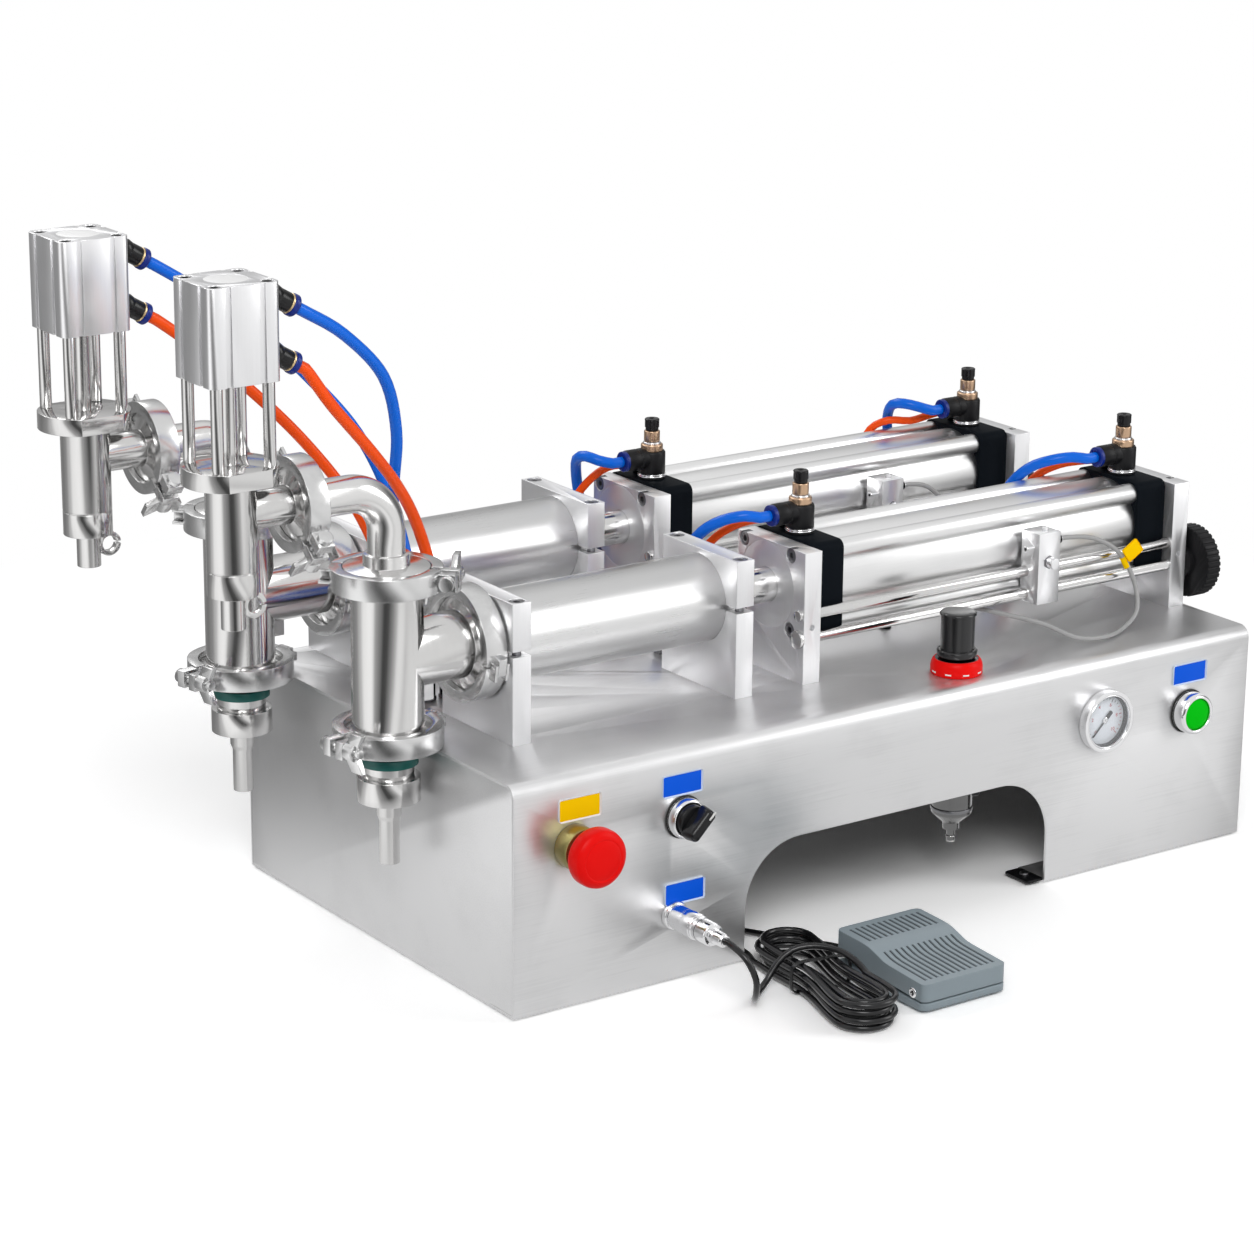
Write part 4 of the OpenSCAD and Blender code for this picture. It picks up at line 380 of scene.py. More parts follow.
def copied(obj, name, place):
    other = obj.copy()
    other.data = obj.data.copy()
    other.name = name
    other.data.name = name
    bpy.context.scene.collection.objects.link(other)
    other.data.transform(Matrix.Translation(place))
    return other


# Copies of a pattern at places on the machine, in its millimetres; the pattern itself goes
def placed(pattern, name, places):
    made = [copied(pattern, name, at(*place)) for place in places]
    bpy.data.objects.remove(pattern)
    return made


def carried(obj, body, slot, *replaced):
    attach(obj, body)
    if replaced:
        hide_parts(*replaced)
    return obj


# CAD nodes with finer edges: finish, edge rounding in mm, nodes
dressed = [
    ("housingSteel", 0.25, "cover_shell", "left_end_panel", "right_end_panel"),
    ("rubber", 0.5, "rubber_feet"),
    ("darkSteel", 0.25, "socket_screws"),
    ("oliveBrass", 0.6, "estop_base"),
    ("chrome", 0.6, "gauge_case"),
    # the regulator bowl's steel is darkened as painted shade
    ("bowlSteel", 0.5, "regulator_body"),
    ("greyPlastic", 0.6, "solenoid_valves", "control_box"),
    ("darkSteel", 0.3, "rear_inlets"),
    ("pedalPlastic", 0.4, "pedal_base"),
    ("darkSteel", 0.2, "pedal_pivot"),
    ("groundSteel", 0.4, "clamp_plates", "cylinder_plates"),
    ("barrelSteel", 0.3, "barrels"),
    ("polishedSteel", 0.4, "front_piston", "rear_piston", "nozzle_bodies", "front_plunger",
     "rear_plunger"),
    ("tubeAluminium", 0.2, "cylinder_tubes"),
    ("blackAluminium", 0.6, "cylinder_caps"),
    ("polishedSteel", 0.3, "guide_rods", "valve_bodies", "inlet_spouts"),
    ("paleAluminium", 0.4, "front_sensor_bracket", "rear_sensor_bracket"),
    ("whitePlastic", 0.3, "check_valves"),
    ("pipeSteel", 0.3, "elbow_pipes"),
    ("castSteel", 0.7, "tri_clamps"),
    ("whitePlastic", 0.15, "gaskets"),
    ("paleAluminium", 0.2, "nozzle_cylinders"),
    ("polishedSteel", 0.2, "nozzle_rods"),
    ("blackPlastic", 0.4, "front_adjusting_wheel", "rear_adjusting_wheel"),
]


def refined(node, look, width):
    source = nodes[node]
    obj = source.copy()
    obj.data = source.data.copy()
    for key in list(obj.keys()):
        del obj[key]
    obj.parent = None
    obj.name = node + "_finished"
    obj.data.name = obj.name
    bpy.context.scene.collection.objects.link(obj)
    editing(obj)
    bpy.ops.mesh.customdata_custom_splitnormals_clear()
    bpy.ops.mesh.remove_doubles(threshold=2e-6)
    bpy.ops.mesh.dissolve_limited(angle_limit=math.radians(0.3))
    doneEditing()
    if width:
        rounded(obj, width)
    smoothed(obj)
    obj.data.materials.clear()
    obj.data.materials.append(finish(look))
    return carried(obj, bodyOf[node], slotOf[node], node)


finished = {node: refined(node, look, width) for look, width, *group in dressed for node in group}
print("stage: frame pieces refined")


# Gives the faces that pass the test another finish
def paintFaces(obj, look, test):
    obj.data.materials.append(finish(look))
    last = len(obj.data.materials) - 1
    for face in obj.data.polygons:
        if test(face.center, face.normal):
            face.material_index = last


# Seal rings on the inlets, bare ends of the left caps and of the wheels' screws, and
# painted shade: the housing's insides are darkened so they and the floor under them look shaded
ends = {"seal": 0.16, "cap": at(299, 0, 0).x, "rod": at(643, 0, 0).x, "front": at(0, 4, 0).y,
        "rear": at(0, 342, 0).y, "deck": 0.15}
paintFaces(finished["gaskets"], "greenSeal", lambda c, n: c.z < ends["seal"])
paintFaces(finished["cylinder_caps"], "groundSteel", lambda c, n: c.x < ends["cap"])
for side in stations:
    paintFaces(finished[side + "_adjusting_wheel"], "polishedSteel",
               lambda c, n: c.x < ends["rod"])
paintFaces(finished["cover_shell"], "shadedInsideSteel", lambda c, n: (
    n.y > 0.5 and c.y < ends["front"] or n.y < -0.5 and c.y > ends["rear"]
    or n.z < -0.5 and c.z > ends["deck"]))
paintFaces(finished["left_end_panel"], "shadedInsideSteel", lambda c, n: n.x > 0.5)
paintFaces(finished["right_end_panel"], "shadedInsideSteel", lambda c, n: n.x < -0.5)

# Front panel
towards = (0, -1, 0)
panel = {"estop": (46, 0, 114), "selector": (134.5, 0, 116), "start": (588, 0, 107.5),
         "socket": (127.5, 0, 48), "gauge": (505.6, 0, 115.7)}
device = {"nut": 14, "contacts": (30, 40, 26), "contactsIn": 0.025}
knob = {"turn": 45, "bar": (26, 9.6, 13), "barAt": (0, -17.5, 0), "mark": (7, 1.6, 0.4),
        "markAt": (6.2, -23.95, 6.2)}


def makeStopButton():
    place = at(*panel["estop"])
    head = turned("stopHead", [
        (9, -6), (9, 20), (16, 20), (19.2, 22.4), (20, 24.4), (20, 30.2), (19.3, 32.8),
        (17.3, 34.7), (14.4, 35.5), (13.7, 35.1), (13.0, 35.5), (8, 35.9), (2, 36)
    ], "redPlastic", place, towards, sides=96, round=0.2)
    carried(head, "estop_head", "red", "estop_head")


# What holds a 22 mm device in the panel: bezel, seal under it, nut and contacts behind
def deviceParts(name, flange, rings):
    place = at(*panel[name])
    behind = Vector((0, device["contactsIn"], 0))
    return [
        turned(name + "Bezel", rings, "chrome", place, towards, sides=96),
        turned(name + "Seal", [
            (flange, 0), (flange + 0.9, 0.1), (flange + 0.9, 1.1), (flange, 1.3)
        ], "rubber", place, towards, ring=True),
        turned(name + "Nut", [(device["nut"], -6), (device["nut"], -2)], "darkSteel", place,
               towards, sides=6),
        block(name + "Contacts", device["contacts"], place + behind, "blackPlastic", corner=2,
              along=towards),
    ]


def makeSwitches():
    both = joined("panelBezels", deviceParts("selector", 14, [
        (11, -12), (11, 0), (14, 0.6), (14, 5.2), (13.2, 7.4), (12.3, 8), (11.4, 7.6), (11.06, 2),
    ]) + deviceParts("start", 15.4, [
        (11, -12), (11, 0), (15.4, 0.6), (15.5, 8.2), (14.8, 10.8), (13.6, 12), (12.6, 12),
        (11.9, 11.4), (11.6, 10), (11.6, 1.5),
    ]))
    carried(both, "machine", "chrome", "switch_bezels")
    place = at(*panel["start"])
    button = turned("startCap", [
        (8, -7.5), (8, 6), (11.3, 6), (11.5, 6.4), (11.5, 9.4), (11.1, 10.3), (9.5, 10.8), (3, 11)
    ], "greenPlastic", place, towards, sides=96, round=0.15)
    carried(button, "start_button", "green", "start_button")
    place = at(*panel["selector"])
    disc = turned("knobDisc", [(11, 2.06), (11, 9.6), (10.4, 11.6), (9.2, 12)], "glossBlack",
                  place, towards, sides=96)
    bar = block("knobBar", knob["bar"], place + Vector(knob["barAt"]) / 1000, "glossBlack",
                corner=3.2, round=0.8, along=towards, spin=knob["turn"], taper=0.9)
    mark = block("knobMark", knob["mark"], place + Vector(knob["markAt"]) / 1000,
                 "whitePlastic", corner=0.6, round=0.1, along=towards, spin=knob["turn"])
    carried(joined("selectorKnob", [disc, bar, mark]), "selector_knob", "black", "selector_knob")


gaugeFace = {"ticks": 25, "long": 5, "from": 225, "sweep": 270, "radius": 16.4, "redFrom": 18,
             "restTurn": 45, "tick": (1.5, 0.34), "longTick": (2.6, 0.5), "lift": 0.00131,
             "numbers": 6, "numberRadius": 11.6, "numberSize": 3.8, "numberDeep": 0.06,
             "hand": (16, 1.2, 0.5), "handAt": (-5.4, -2.2, -5.4), "tail": (8, 3, 0.6),
             "tailAt": (3, -2.2, 3)}


def makeGauge():
    place = at(*panel["gauge"])
    g = gaugeFace
    onFace = place + Vector((0, -g["lift"], 0))
    parts = [
        turned("gaugeRim", [
            (23, 0.1), (23, 5), (22.2, 6.6), (21.2, 7), (20.3, 6.8), (20.1, 6.0), (19.6, 6.7),
            (19.1, 6.7), (18.8, 6.2), (18.7, 1.2), (20, 0.9), (20, 0.1)
        ], "chrome", place, towards, sides=128, round=0.12, ring=True),
        turned("gaugeWell", [(18.7, 1.05), (18.6, 5), (18.2, 5.1), (18.0, 1.1)], "darkWell", place,
               towards, sides=96, ring=True, round=0.05),
        turned("gaugeDial", [(18.1, 0.95), (18.1, 1.15), (17.9, 1.25)], "dialWhite", place,
               towards, sides=96, round=0.05),
    ]
    for i in range(g["ticks"] + 1):
        turn = g["from"] - g["sweep"] * i / g["ticks"]
        way = Vector((math.cos(math.radians(turn)), 0, math.sin(math.radians(turn))))
        size, wide = g["tick"] if i % g["long"] else g["longTick"]
        parts.append(block(
            "gaugeTick", (size, wide, 0.12), onFace + (g["radius"] - size / 2) * way / 1000,
            "dialRed" if i >= g["redFrom"] else "darkWell", along=towards, spin=turn, round=0.03))
    for i in range(g["numbers"]):
        turn = math.radians(g["from"] - g["sweep"] * i / (g["numbers"] - 1))
        bpy.ops.object.text_add(location=(0, 0, 0))
        word = bpy.context.object
        word.data.body = str(2 * i)
        word.data.size = g["numberSize"] / 1000
        word.data.align_x, word.data.align_y = "CENTER", "CENTER"
        word.data.extrude = g["numberDeep"] / 1000
        bpy.ops.object.convert(target="MESH")
        word = bpy.context.object
        way = Vector((math.cos(turn), 0, math.sin(turn)))
        settle(word, onFace + g["numberRadius"] * way / 1000, towards)
        word.data.materials.clear()
        word.data.materials.append(finish("dialRed"))
        parts.append(word)
    carried(joined("gaugeDetails", parts), "machine", "chrome")
    hand = [
        block("handLong", g["hand"], place + Vector(g["handAt"]) / 1000, "darkWell",
              along=towards, spin=g["restTurn"], round=0.1),
        block("handTail", g["tail"], place + Vector(g["tailAt"]) / 1000, "darkWell",
              corner=0.8, along=towards, spin=g["restTurn"], round=0.15),
        turned("handHub", [(2.4, 1.8), (2.4, 2.6), (1.8, 2.9), (0.8, 3.0)], "chrome", place,
               towards, sides=32, round=0.1),
    ]
    carried(joined("gaugeHand", hand), "gauge_pointer", "black", "gauge_pointer")
    lens = turned("gaugeGlass", [(19.9, 5.3), (19.9, 5.9), (14, 6.35), (4, 6.6)], "clearLens",
                  place, towards, sides=96, round=0.1)
    carried(lens, "machine", "glass", "gauge_lens")


# A sleeve whose outside is cut into grooves by sizing every other pair of sides
def fluted(name, radius, low, high, count, share, look, place=zero, along=(0, 0, 1),
           openTop=False):
    obj = turned(name, [(radius, low), (radius, low + 0.5), (radius, high - 0.5), (radius, high)],
                 look, sides=count * 4, round=0)
    inner = (low + 0.3) / 1000, (high + (0.3 if openTop else -0.3)) / 1000
    for v in obj.data.vertices:
        step = sideOf(v.co, count * 4)
        v.select = step % 4 < 2 and inner[0] < v.co.z < inner[1]
    only(obj)
    bpy.ops.object.mode_set(mode="EDIT")
    bpy.ops.transform.resize(value=(share, share, 1), center_override=(0, 0, 0))
    doneEditing()
    settle(obj, place, along)
    return smoothed(obj, 25)


def sideOf(co, count):
    return round(math.atan2(co.y, co.x) / (2 * math.pi) * count) % count


def makeSocket():
    place = at(*panel["socket"])
    socket = joined("footSocket", [
        turned("socketFlange", [
            (8, -22), (8, 0), (10, 0.1), (10, 2.6), (9.2, 4), (7.5, 4), (7.5, 11.6), (7.2, 12)
        ], "chrome", place, towards),
        turned("socketNut", [(13, -6), (14, -5.6), (14, -2.4), (13, -2)], "darkSteel", place,
               towards, sides=6),
    ])
    carried(socket, "machine", "chrome", "pedal_socket")
    plug = joined("footPlug", [
        turned("plugCore", [
            (7.6, 4.4), (8.2, 4.4), (8.6, 5), (8.6, 29.4), (8, 30.2), (8, 43.8), (7.4, 45),
            (4.9, 45), (4.7, 56.6), (3.6, 57.9)
        ], "chrome", place, towards),
        fluted("plugKnurl", 9, 6.5, 15.5, 26, 0.955, "chrome", place, towards),
        turned("plugCollar", [(8.5, 17.2), (9, 17.6), (9, 27.6), (8.5, 28)], "chrome", place,
               towards, ring=True),
        turned("plugSeam", [(7.9, 33), (8.05, 33.1), (8.05, 33.9), (7.9, 34)], "darkSteel", place,
               towards, ring=True, round=0.05),
        fluted("plugGrip", 7.9, 36, 43, 18, 0.96, "chrome", place, towards),
        turned("plugRelief", [(4.9, 46.5), (5, 47), (5, 51), (3.9, 57.2), (2.9, 57.8)], "chrome",
               place, towards),
    ])
    carried(plug, "machine", "chrome", "pedal_plug")
    return plug


# Bare labels with a thin border: middle x and z on the panel, width and height
labelEdge, labelStep, labelLift = 0.0008, 0.0002, 0.00006
labels = {
    "stopLabel": (51, 139, 33, 16, "yellowLabel", "darkLabel"),
    "selectorLabel": (133, 139.5, 32.5, 15.5, "blueLabel", "paleLabel"),
    "socketLabel": (136, 63, 32.5, 15.5, "blueLabel", "paleLabel"),
    "startLabel": (588, 136.7, 32.5, 15.5, "blueLabel", "paleLabel"),
}


def makeLabels():
    for name, (x, z, wide, high, look, border) in labels.items():
        plate = block(name, (wide, high, 0.5), at(x, -0.25, z), border, corner=1.8, round=0,
                      along=towards)
        for face in plate.data.polygons:
            face.select = face.normal.y < -0.9
        only(plate)
        bpy.ops.object.mode_set(mode="EDIT")
        bpy.ops.mesh.inset(thickness=labelEdge)
        bpy.ops.mesh.inset(thickness=labelStep, depth=labelLift)
        doneEditing()
        plate.data.materials.append(finish(look))
        middle = at(x, 0, z)
        for face in plate.data.polygons:
            off = face.center - middle
            if (face.normal.y < -0.2 and abs(off.x) < wide / 2000 - labelEdge
                    and abs(off.z) < high / 2000 - labelEdge):
                face.material_index = 1
        smoothed(plate)
        carried(plate, "machine", "grey")


makeStopButton()
makeSwitches()
makeGauge()
footPlug = makeSocket()
makeLabels()
print("stage: front panel done")

# Regulator
regulator = {"x": 395, "y": 34, "slots": 9, "slotFrom": 0.3, "slotSize": (0.9, 4.6, 1.2),
             "slotUp": 0.0027, "slotOut": 0.01815, "flutes": 14, "fluteTo": 0.80}


def makeRegulator():
    place = at(regulator["x"], regulator["y"], machine["deck"])
    ring = turned("regulatorRing", [
        (15.4, 0.02), (18.0, 0.02), (18.5, 0.9), (18.5, 5.6), (18.1, 7.8), (17.2, 9.8),
        (16.3, 10.8), (15.4, 11)
    ], "redPlastic", place, ring=True, sides=96)
    marks = []
    for i in range(regulator["slots"]):
        turn = 2 * math.pi * (i + regulator["slotFrom"]) / regulator["slots"]
        out = regulator["slotOut"]
        spot = Vector((out * math.cos(turn), out * math.sin(turn), regulator["slotUp"]))
        marks.append(block("ringSlot", regulator["slotSize"], place + spot, "whitePlastic",
                           corner=0.3, round=0.15, spin=math.degrees(turn)))
    carried(joined("regulatorLock", [ring] + marks), "machine", "red", "regulator_ring")
    parts = [
        turned("knobSkirt", [(13.2, 12.3), (14.0, 12.8), (14.4, 16.6), (13.4, 17.6)], "knobBlack",
               place, sides=96),
        fluted("knobGrip", 15, 16.4, 43.6, regulator["flutes"], regulator["fluteTo"], "knobBlack",
               place, openTop=True),
        turned("knobTop", [(13.1, 42.6), (13.1, 43.7), (12.2, 44.7), (9, 45)], "knobBlack", place,
               sides=96),
    ]
    carried(joined("regulatorKnob", parts), "regulator_knob", "black", "regulator_knob")
    below = at(regulator["x"], regulator["y"], 0)
    bowl = joined("regulatorBowl", [
        turned("bowlCollar", [(20, 100), (20.3, 101), (20.3, 106), (20, 107)], "blackPlastic",
               below),
        turned("bowlRing", [(14.4, 88), (15.3, 88.4), (15.3, 92), (14.4, 92.4)], "blackPlastic",
               below, ring=True),
        turned("bowlBand", [(14.4, 60), (15.1, 60.3), (15.1, 62.6), (14.4, 63)], "darkSteel",
               below, ring=True),
        turned("bowlKnob", [(3.2, 13.5), (4.4, 14.5), (4.4, 19), (3.6, 20)], "blackPlastic",
               at(regulator["x"], regulator["y"], 72), (0.96, -0.28, 0)),
        turned("nippleRib", [(2.9, 39), (3.7, 39.6), (2.9, 40.4)], "polishedSteel", below,
               ring=True, round=0.05),
        turned("nippleTip", [(3.05, 36.4), (3.05, 35.4), (2.2, 35)], "whitePlastic", below),
    ])
    carried(bowl, "machine", "metal")


makeRegulator()
print("stage: regulator done")

# Flow controls and fittings
flow = {"base": 258.5, "portUp": 15.5, "bossY": 17, "bossUp": 8}


def makeFlowBody():
    side = Vector((0, 0, flow["portUp"] / 1000))
    boss = Vector((0, flow["bossY"] / 1000, 0))
    bossSide = boss + Vector((0, 0, flow["bossUp"] / 1000))
    return joined("flowControl", [
        turned("flowFoot", [(9.4, 0), (10.2, 0.3), (10.2, 1.1), (9.6, 1.3)], "blackPlastic"),
        turned("flowRing", [
            (9.2, 1.2), (10.3, 1.4), (10.4, 2.4), (10.1, 2.8), (10.4, 3.2), (10.3, 3.9),
            (9.2, 4.1)
        ], "chrome"),
        turned("flowBody", [(9.4, 4), (10.1, 4.6), (10.1, 19.6), (9.3, 21)], "blackPlastic"),
        turned("flowCollar", [(7.6, 20.8), (8.2, 21.2), (8.2, 25.4), (7.7, 26)], "copper"),
        turned("flowNut", [(6.2, 25.8), (6.6, 26.2), (6.6, 27.2), (6.2, 27.6)], "chrome"),
        turned("flowWaist", [(5.2, 27.2), (5.2, 28.2)], "darkSteel"),
        turned("flowStem", [(5.6, 28), (5.9, 28.4), (5.9, 35.6), (5.5, 36)], "copper"),
        turned("flowPort", [
            (8, 0), (8, 12), (7.5, 12.5), (7.5, 13.4), (8, 13.9), (8, 22.6), (7.2, 24)
        ], "blackPlastic", side, (-1, 0, 0)),
        turned("flowRelease", [
            (6.6, 23.4), (7.5, 23.7), (7.6, 26.4), (6.8, 27), (4.1, 27), (4.1, 24)
        ], "blueRing", side, (-1, 0, 0), ring=True),
        turned("bossBody", [(4, 0), (4, 10.6), (3.2, 12)], "glossBlack", boss),
        turned("bossPort", [(3.95, 0), (3.95, 6.6), (3.6, 7)], "glossBlack", bossSide, (-1, 0, 0)),
        turned("bossRelease", [(3.1, 6.8), (3.7, 6.9), (3.7, 7.8), (3.1, 8)], "orangeTube",
               bossSide, (-1, 0, 0), ring=True),
    ])


def makeFlowKnob():
    return joined("flowKnob", [
        turned("knobPin", [(2.5, 30), (2.5, 37)], "chrome"),
        turned("knobFoot", [(4.4, 36.1), (4.8, 36.4), (4.8, 38.4), (4.4, 38.8)], "glossBlack"),
        fluted("knobBody", 5.7, 38.6, 44.2, 14, 0.94, "glossBlack"),
        turned("knobTop", [(5.4, 44), (5.6, 44.3), (5.0, 45), (2.4, 45), (1.8, 43.9), (0.8, 43.9)],
               "glossBlack"),
    ])


def makeFlowControls():
    body, knob = makeFlowBody(), makeFlowKnob()
    bodies = []
    for side, y in stations.items():
        for x, end in zip(machine["capX"], ("left", "right")):
            place = at(x, y, flow["base"])
            bodies.append(copied(body, "flowBody", place))
            node = f"{side}_{end}_flow_knob"
            carried(copied(knob, node + "_finished", place), node, "black", node)
    bpy.data.objects.remove(body)
    bpy.data.objects.remove(knob)
    carried(joined("flowControls", bodies), "machine", "black", "flow_controls")


fitting = {"bulkheads": [(50, 186), (66, 182), (50, 220), (66, 224), (250, 186), (266, 182),
                         (278, 330), (261, 330), (548, 180), (564, 176), (572, 330), (543, 330)],
           "cableRings": {"front": (420, 146), "rear": (425, 328)}, "tilt": 30,
           "ports": (438.152, 475.152), "elbowOut": 25, "ball": 8}


def makeFittings():
    ball = Vector((fitting["ball"] / 1000, 0, 0))
    tilt = math.radians(fitting["tilt"])
    down = (math.cos(tilt), 0, -math.sin(tilt))
    elbow = joined("elbow", [
        turned("elbowBand", [(6.4, 0), (7.3, 0.3), (7.3, 2.6), (6.4, 3)], "brass", along=(1, 0, 0),
               sides=6),
        turned("elbowBoss", [(6.6, 2.6), (7, 3), (7, 8)], "glossBlack", along=(1, 0, 0)),
        turned("elbowBall", [
            (2, -7.2), (5, -5.8), (6.8, -3.2), (7.5, 0), (6.8, 3.2), (5, 5.8), (2, 7.2)
        ], "glossBlack", ball, down, round=0),
        turned("elbowCap", [(4.4, 5.2), (4.6, 6.4), (4.0, 8.2), (2.4, 8.8)], "copper", ball,
               (-0.5, 0, 0.87)),
        turned("elbowSleeve", [(6.6, 0), (6.7, 1), (6.7, 12)], "glossBlack", ball, down),
        turned("elbowBrass", [(5.9, 11.8), (6.9, 12), (6.9, 13.4), (6.2, 13.8)], "brass", ball,
               down, ring=True),
        turned("elbowRing", [
            (4.2, 13.6), (7.0, 13.6), (7.5, 14.2), (7.5, 17.2), (6.8, 18), (4.2, 18)
        ], "blueRing", ball, down, ring=True),
    ])
    bulkhead = joined("bulkhead", [
        turned("bulkheadNut", [(6.8, 0), (7.3, 0.4), (7.3, 2.6), (6.8, 3)], "darkSteel", sides=6),
        turned("bulkheadBody", [(6.5, 2.8), (6.5, 11.6), (6.1, 12.4)], "glossBlack"),
        turned("bulkheadRing", [
            (4.2, 12), (5.9, 12.1), (6.3, 12.8), (6.3, 14.4), (5.8, 15), (4.2, 15)
        ], "blueRing", ring=True),
        turned("bulkheadTail", [(5, -8), (5, -1.9), (7, -1.9), (7, -6)], "darkSteel"),
    ])
    ring = turned("cableRing", [(2, 0), (5, 0), (5, 1.8), (4, 2.8), (2, 3)], "rubber", ring=True)
    out, deck = fitting["elbowOut"], machine["deck"]
    made = placed(elbow, "elbowCopy",
                  [(x + out, y, z) for x, y in heads for z in fitting["ports"]])
    made += placed(bulkhead, "bulkheadCopy", [(*spot, deck) for spot in fitting["bulkheads"]])
    made += placed(ring, "ringCopy", [(*spot, deck) for spot in fitting["cableRings"].values()])
    carried(joined("airFittings", made), "machine", "black", "air_fittings")


makeFlowControls()
makeFittings()
print("stage: flow controls and fittings done")

# Small things on the machine
small = {"nozzleTop": 489.152, "bolt": 18.5, "tab": (450, 15), "lamp": (501, 46.5, 241.4),
         "lock": (501, 52.5, 219.6), "pin": (491, 46.5, 230.6), "collar": (511, 46.5, 233.6),
         "hub": (655, 38, 194)}


def makeScrewHeads():
    screw = turned("cornerScrew", [(3.9, -4), (3.9, -0.9), (3.5, -0.5), (2.2, -0.5), (2.2, -2.6)],
                   "darkWell")
    # The top disc's near-white half diffuse finish is partly painted sheen
    disc = turned("topDisc", [(14.6, -1), (15.2, -0.8), (15.2, -0.2), (14.2, -0.05), (3, -0.05)],
                  "discPaleAndPaintedSheen")
    plug = turned("topPlug", [(3.1, -4), (3.1, -0.1), (2.6, 0)], "blackPlastic")
    b, z = small["bolt"], small["nozzleTop"]
    made = placed(disc, "discCopy", [(x, y, z) for x, y in heads])
    made += placed(screw, "screwCopy", [(x + i * b, y + j * b, z) for x, y in heads
                                        for i, j in ((-1, -1), (-1, 1), (1, 1))])
    made += placed(plug, "plugCopy", [(x + b, y - b, z) for x, y in heads])
    carried(joined("nozzleTopScrews", made), "machine", "screws")


def makeFootTab():
    # The flange tab at the arch's corner is a black plate: painted shade, as the steel flange lies
    # in the shade under the housing
    tab = joined("footTabInShade", [
        block("shadedTabPlate", (16, 26, 2), at(*small["tab"], 3.2), "blackPlastic", corner=2),
        turned("tabScrew", [(3.6, 4), (3.6, 5.6), (2.6, 6.2)], "darkSteel", at(*small["tab"], 0),
               sides=24),
    ])
    carried(tab, "machine", "rubber")


def makeBracketDetails():
    for side, y in stations.items():
        spots = (small[k] for k in ("lamp", "lock", "pin", "collar"))
        lamp, lock, pin, collar = (at(x, y - out, z) for x, out, z in spots)
        parts = [
            turned("lampBody", [(2.2, 0), (2.2, 1.6), (1.6, 2.7), (0.6, 3)], "clearLamp", lamp,
                   round=0.1),
            turned("lockKnob", [
                (2.4, 0.3), (4.2, 0.6), (4.2, 5.6), (3.4, 6.8), (1.4, 6.8), (1.4, 5.6)
            ], "chrome", lock, towards),
            turned("lockDisc", [(5.2, 0.02), (5.2, 0.8)], "darkSteel", lock, towards, sides=6),
            turned("pinHead", [(1.6, 6.4), (2, 6.8), (2, 8)], "chrome", pin, (-1, 0, 0), sides=24),
            turned("cableCollar", [(3, 1), (3.3, 1.4), (3.3, 4.4), (2.4, 5)], "blackPlastic",
                   collar, (1, 0, 0), sides=24),
        ]
        carried(joined(side + "BracketDetails", parts), side + "_sensor_bracket", "metal")


def makeWheelHubs():
    for side, y in stations.items():
        x, out, z = small["hub"]
        place = at(x, y - out, z)
        hub = joined(side + "WheelHub", [
            turned("hubDish", [(17, 4.2), (18, 5.06), (12, 5.06), (11, 4)], "blackPlastic", place,
                   (1, 0, 0), ring=True),
            turned("hubScrew", [(4, 3.5), (4, 5), (3, 5.02)], "darkSteel", place, (1, 0, 0)),
        ])
        carried(hub, side + "_adjusting_wheel", "black")


makeScrewHeads()
makeFootTab()
makeBracketDetails()
makeWheelHubs()
print("stage: small pieces done")

# Foot switch. top: distance from the treadle's front edge and height; groove (a dark strip over
# the top, painted shade for a groove) and rib: width, lift over the top and thickness
pedal = {"x": 266, "y": -139, "wide": 71, "deep": 94, "in": 0.5, "corner": 6, "edge": 3,
         "wall": 2.2,
         "top": ((0, 20.5), (38, 22.6), (44, 23.6), (52, 26.4), (60, 28.6), (68, 29.3), (95, 30)),
         "skirt": (8, 13.5), "grooves": 13, "pitch": 4.8, "rows": ((7, 51), (66, 88)),
         "hinge": (-128, 12.5), "hingeOut": 0.4, "cordX": 242, "notch": (12, 44, 16),
         "cuts": 26, "lineCuts": 14,
         "groove": (1.1, 0.08, 0.3), "rib": (1.3, 0.5, 0.8), "ribAside": 1.3}


def treadleTop(far):
    for (a, low), (b, high) in zip(pedal["top"], pedal["top"][1:]):
        if far <= b:
            break
    return low + (high - low) * (far - a) / (b - a)


# A sheet over the treadle: width across, from and to its front edge, height over the top
def treadleSheet(name, x, wide, near, far, cuts, lift):
    bpy.ops.mesh.primitive_grid_add(
        x_subdivisions=1, y_subdivisions=cuts, size=1, location=(0, 0, 0))
    sheet = named(name)
    sheet.data.transform(Matrix.Diagonal((wide / 1000, (far - near) / 1000, 1, 1)))
    sheet.data.transform(Matrix.Translation(at(x, pedal["y"] + (near + far) / 2, 0)))
    front = at(0, pedal["y"], 0).y
    for v in sheet.data.vertices:
        v.co.z = (treadleTop((v.co.y - front) * 1000) + lift) / 1000
    return sheet


def thickened(obj, thick):
    only(obj)
    wall = obj.modifiers.new("wall", "SOLIDIFY")
    wall.thickness = thick / 1000
    wall.offset = -1
    bpy.ops.object.modifier_apply(modifier=wall.name)
    return obj


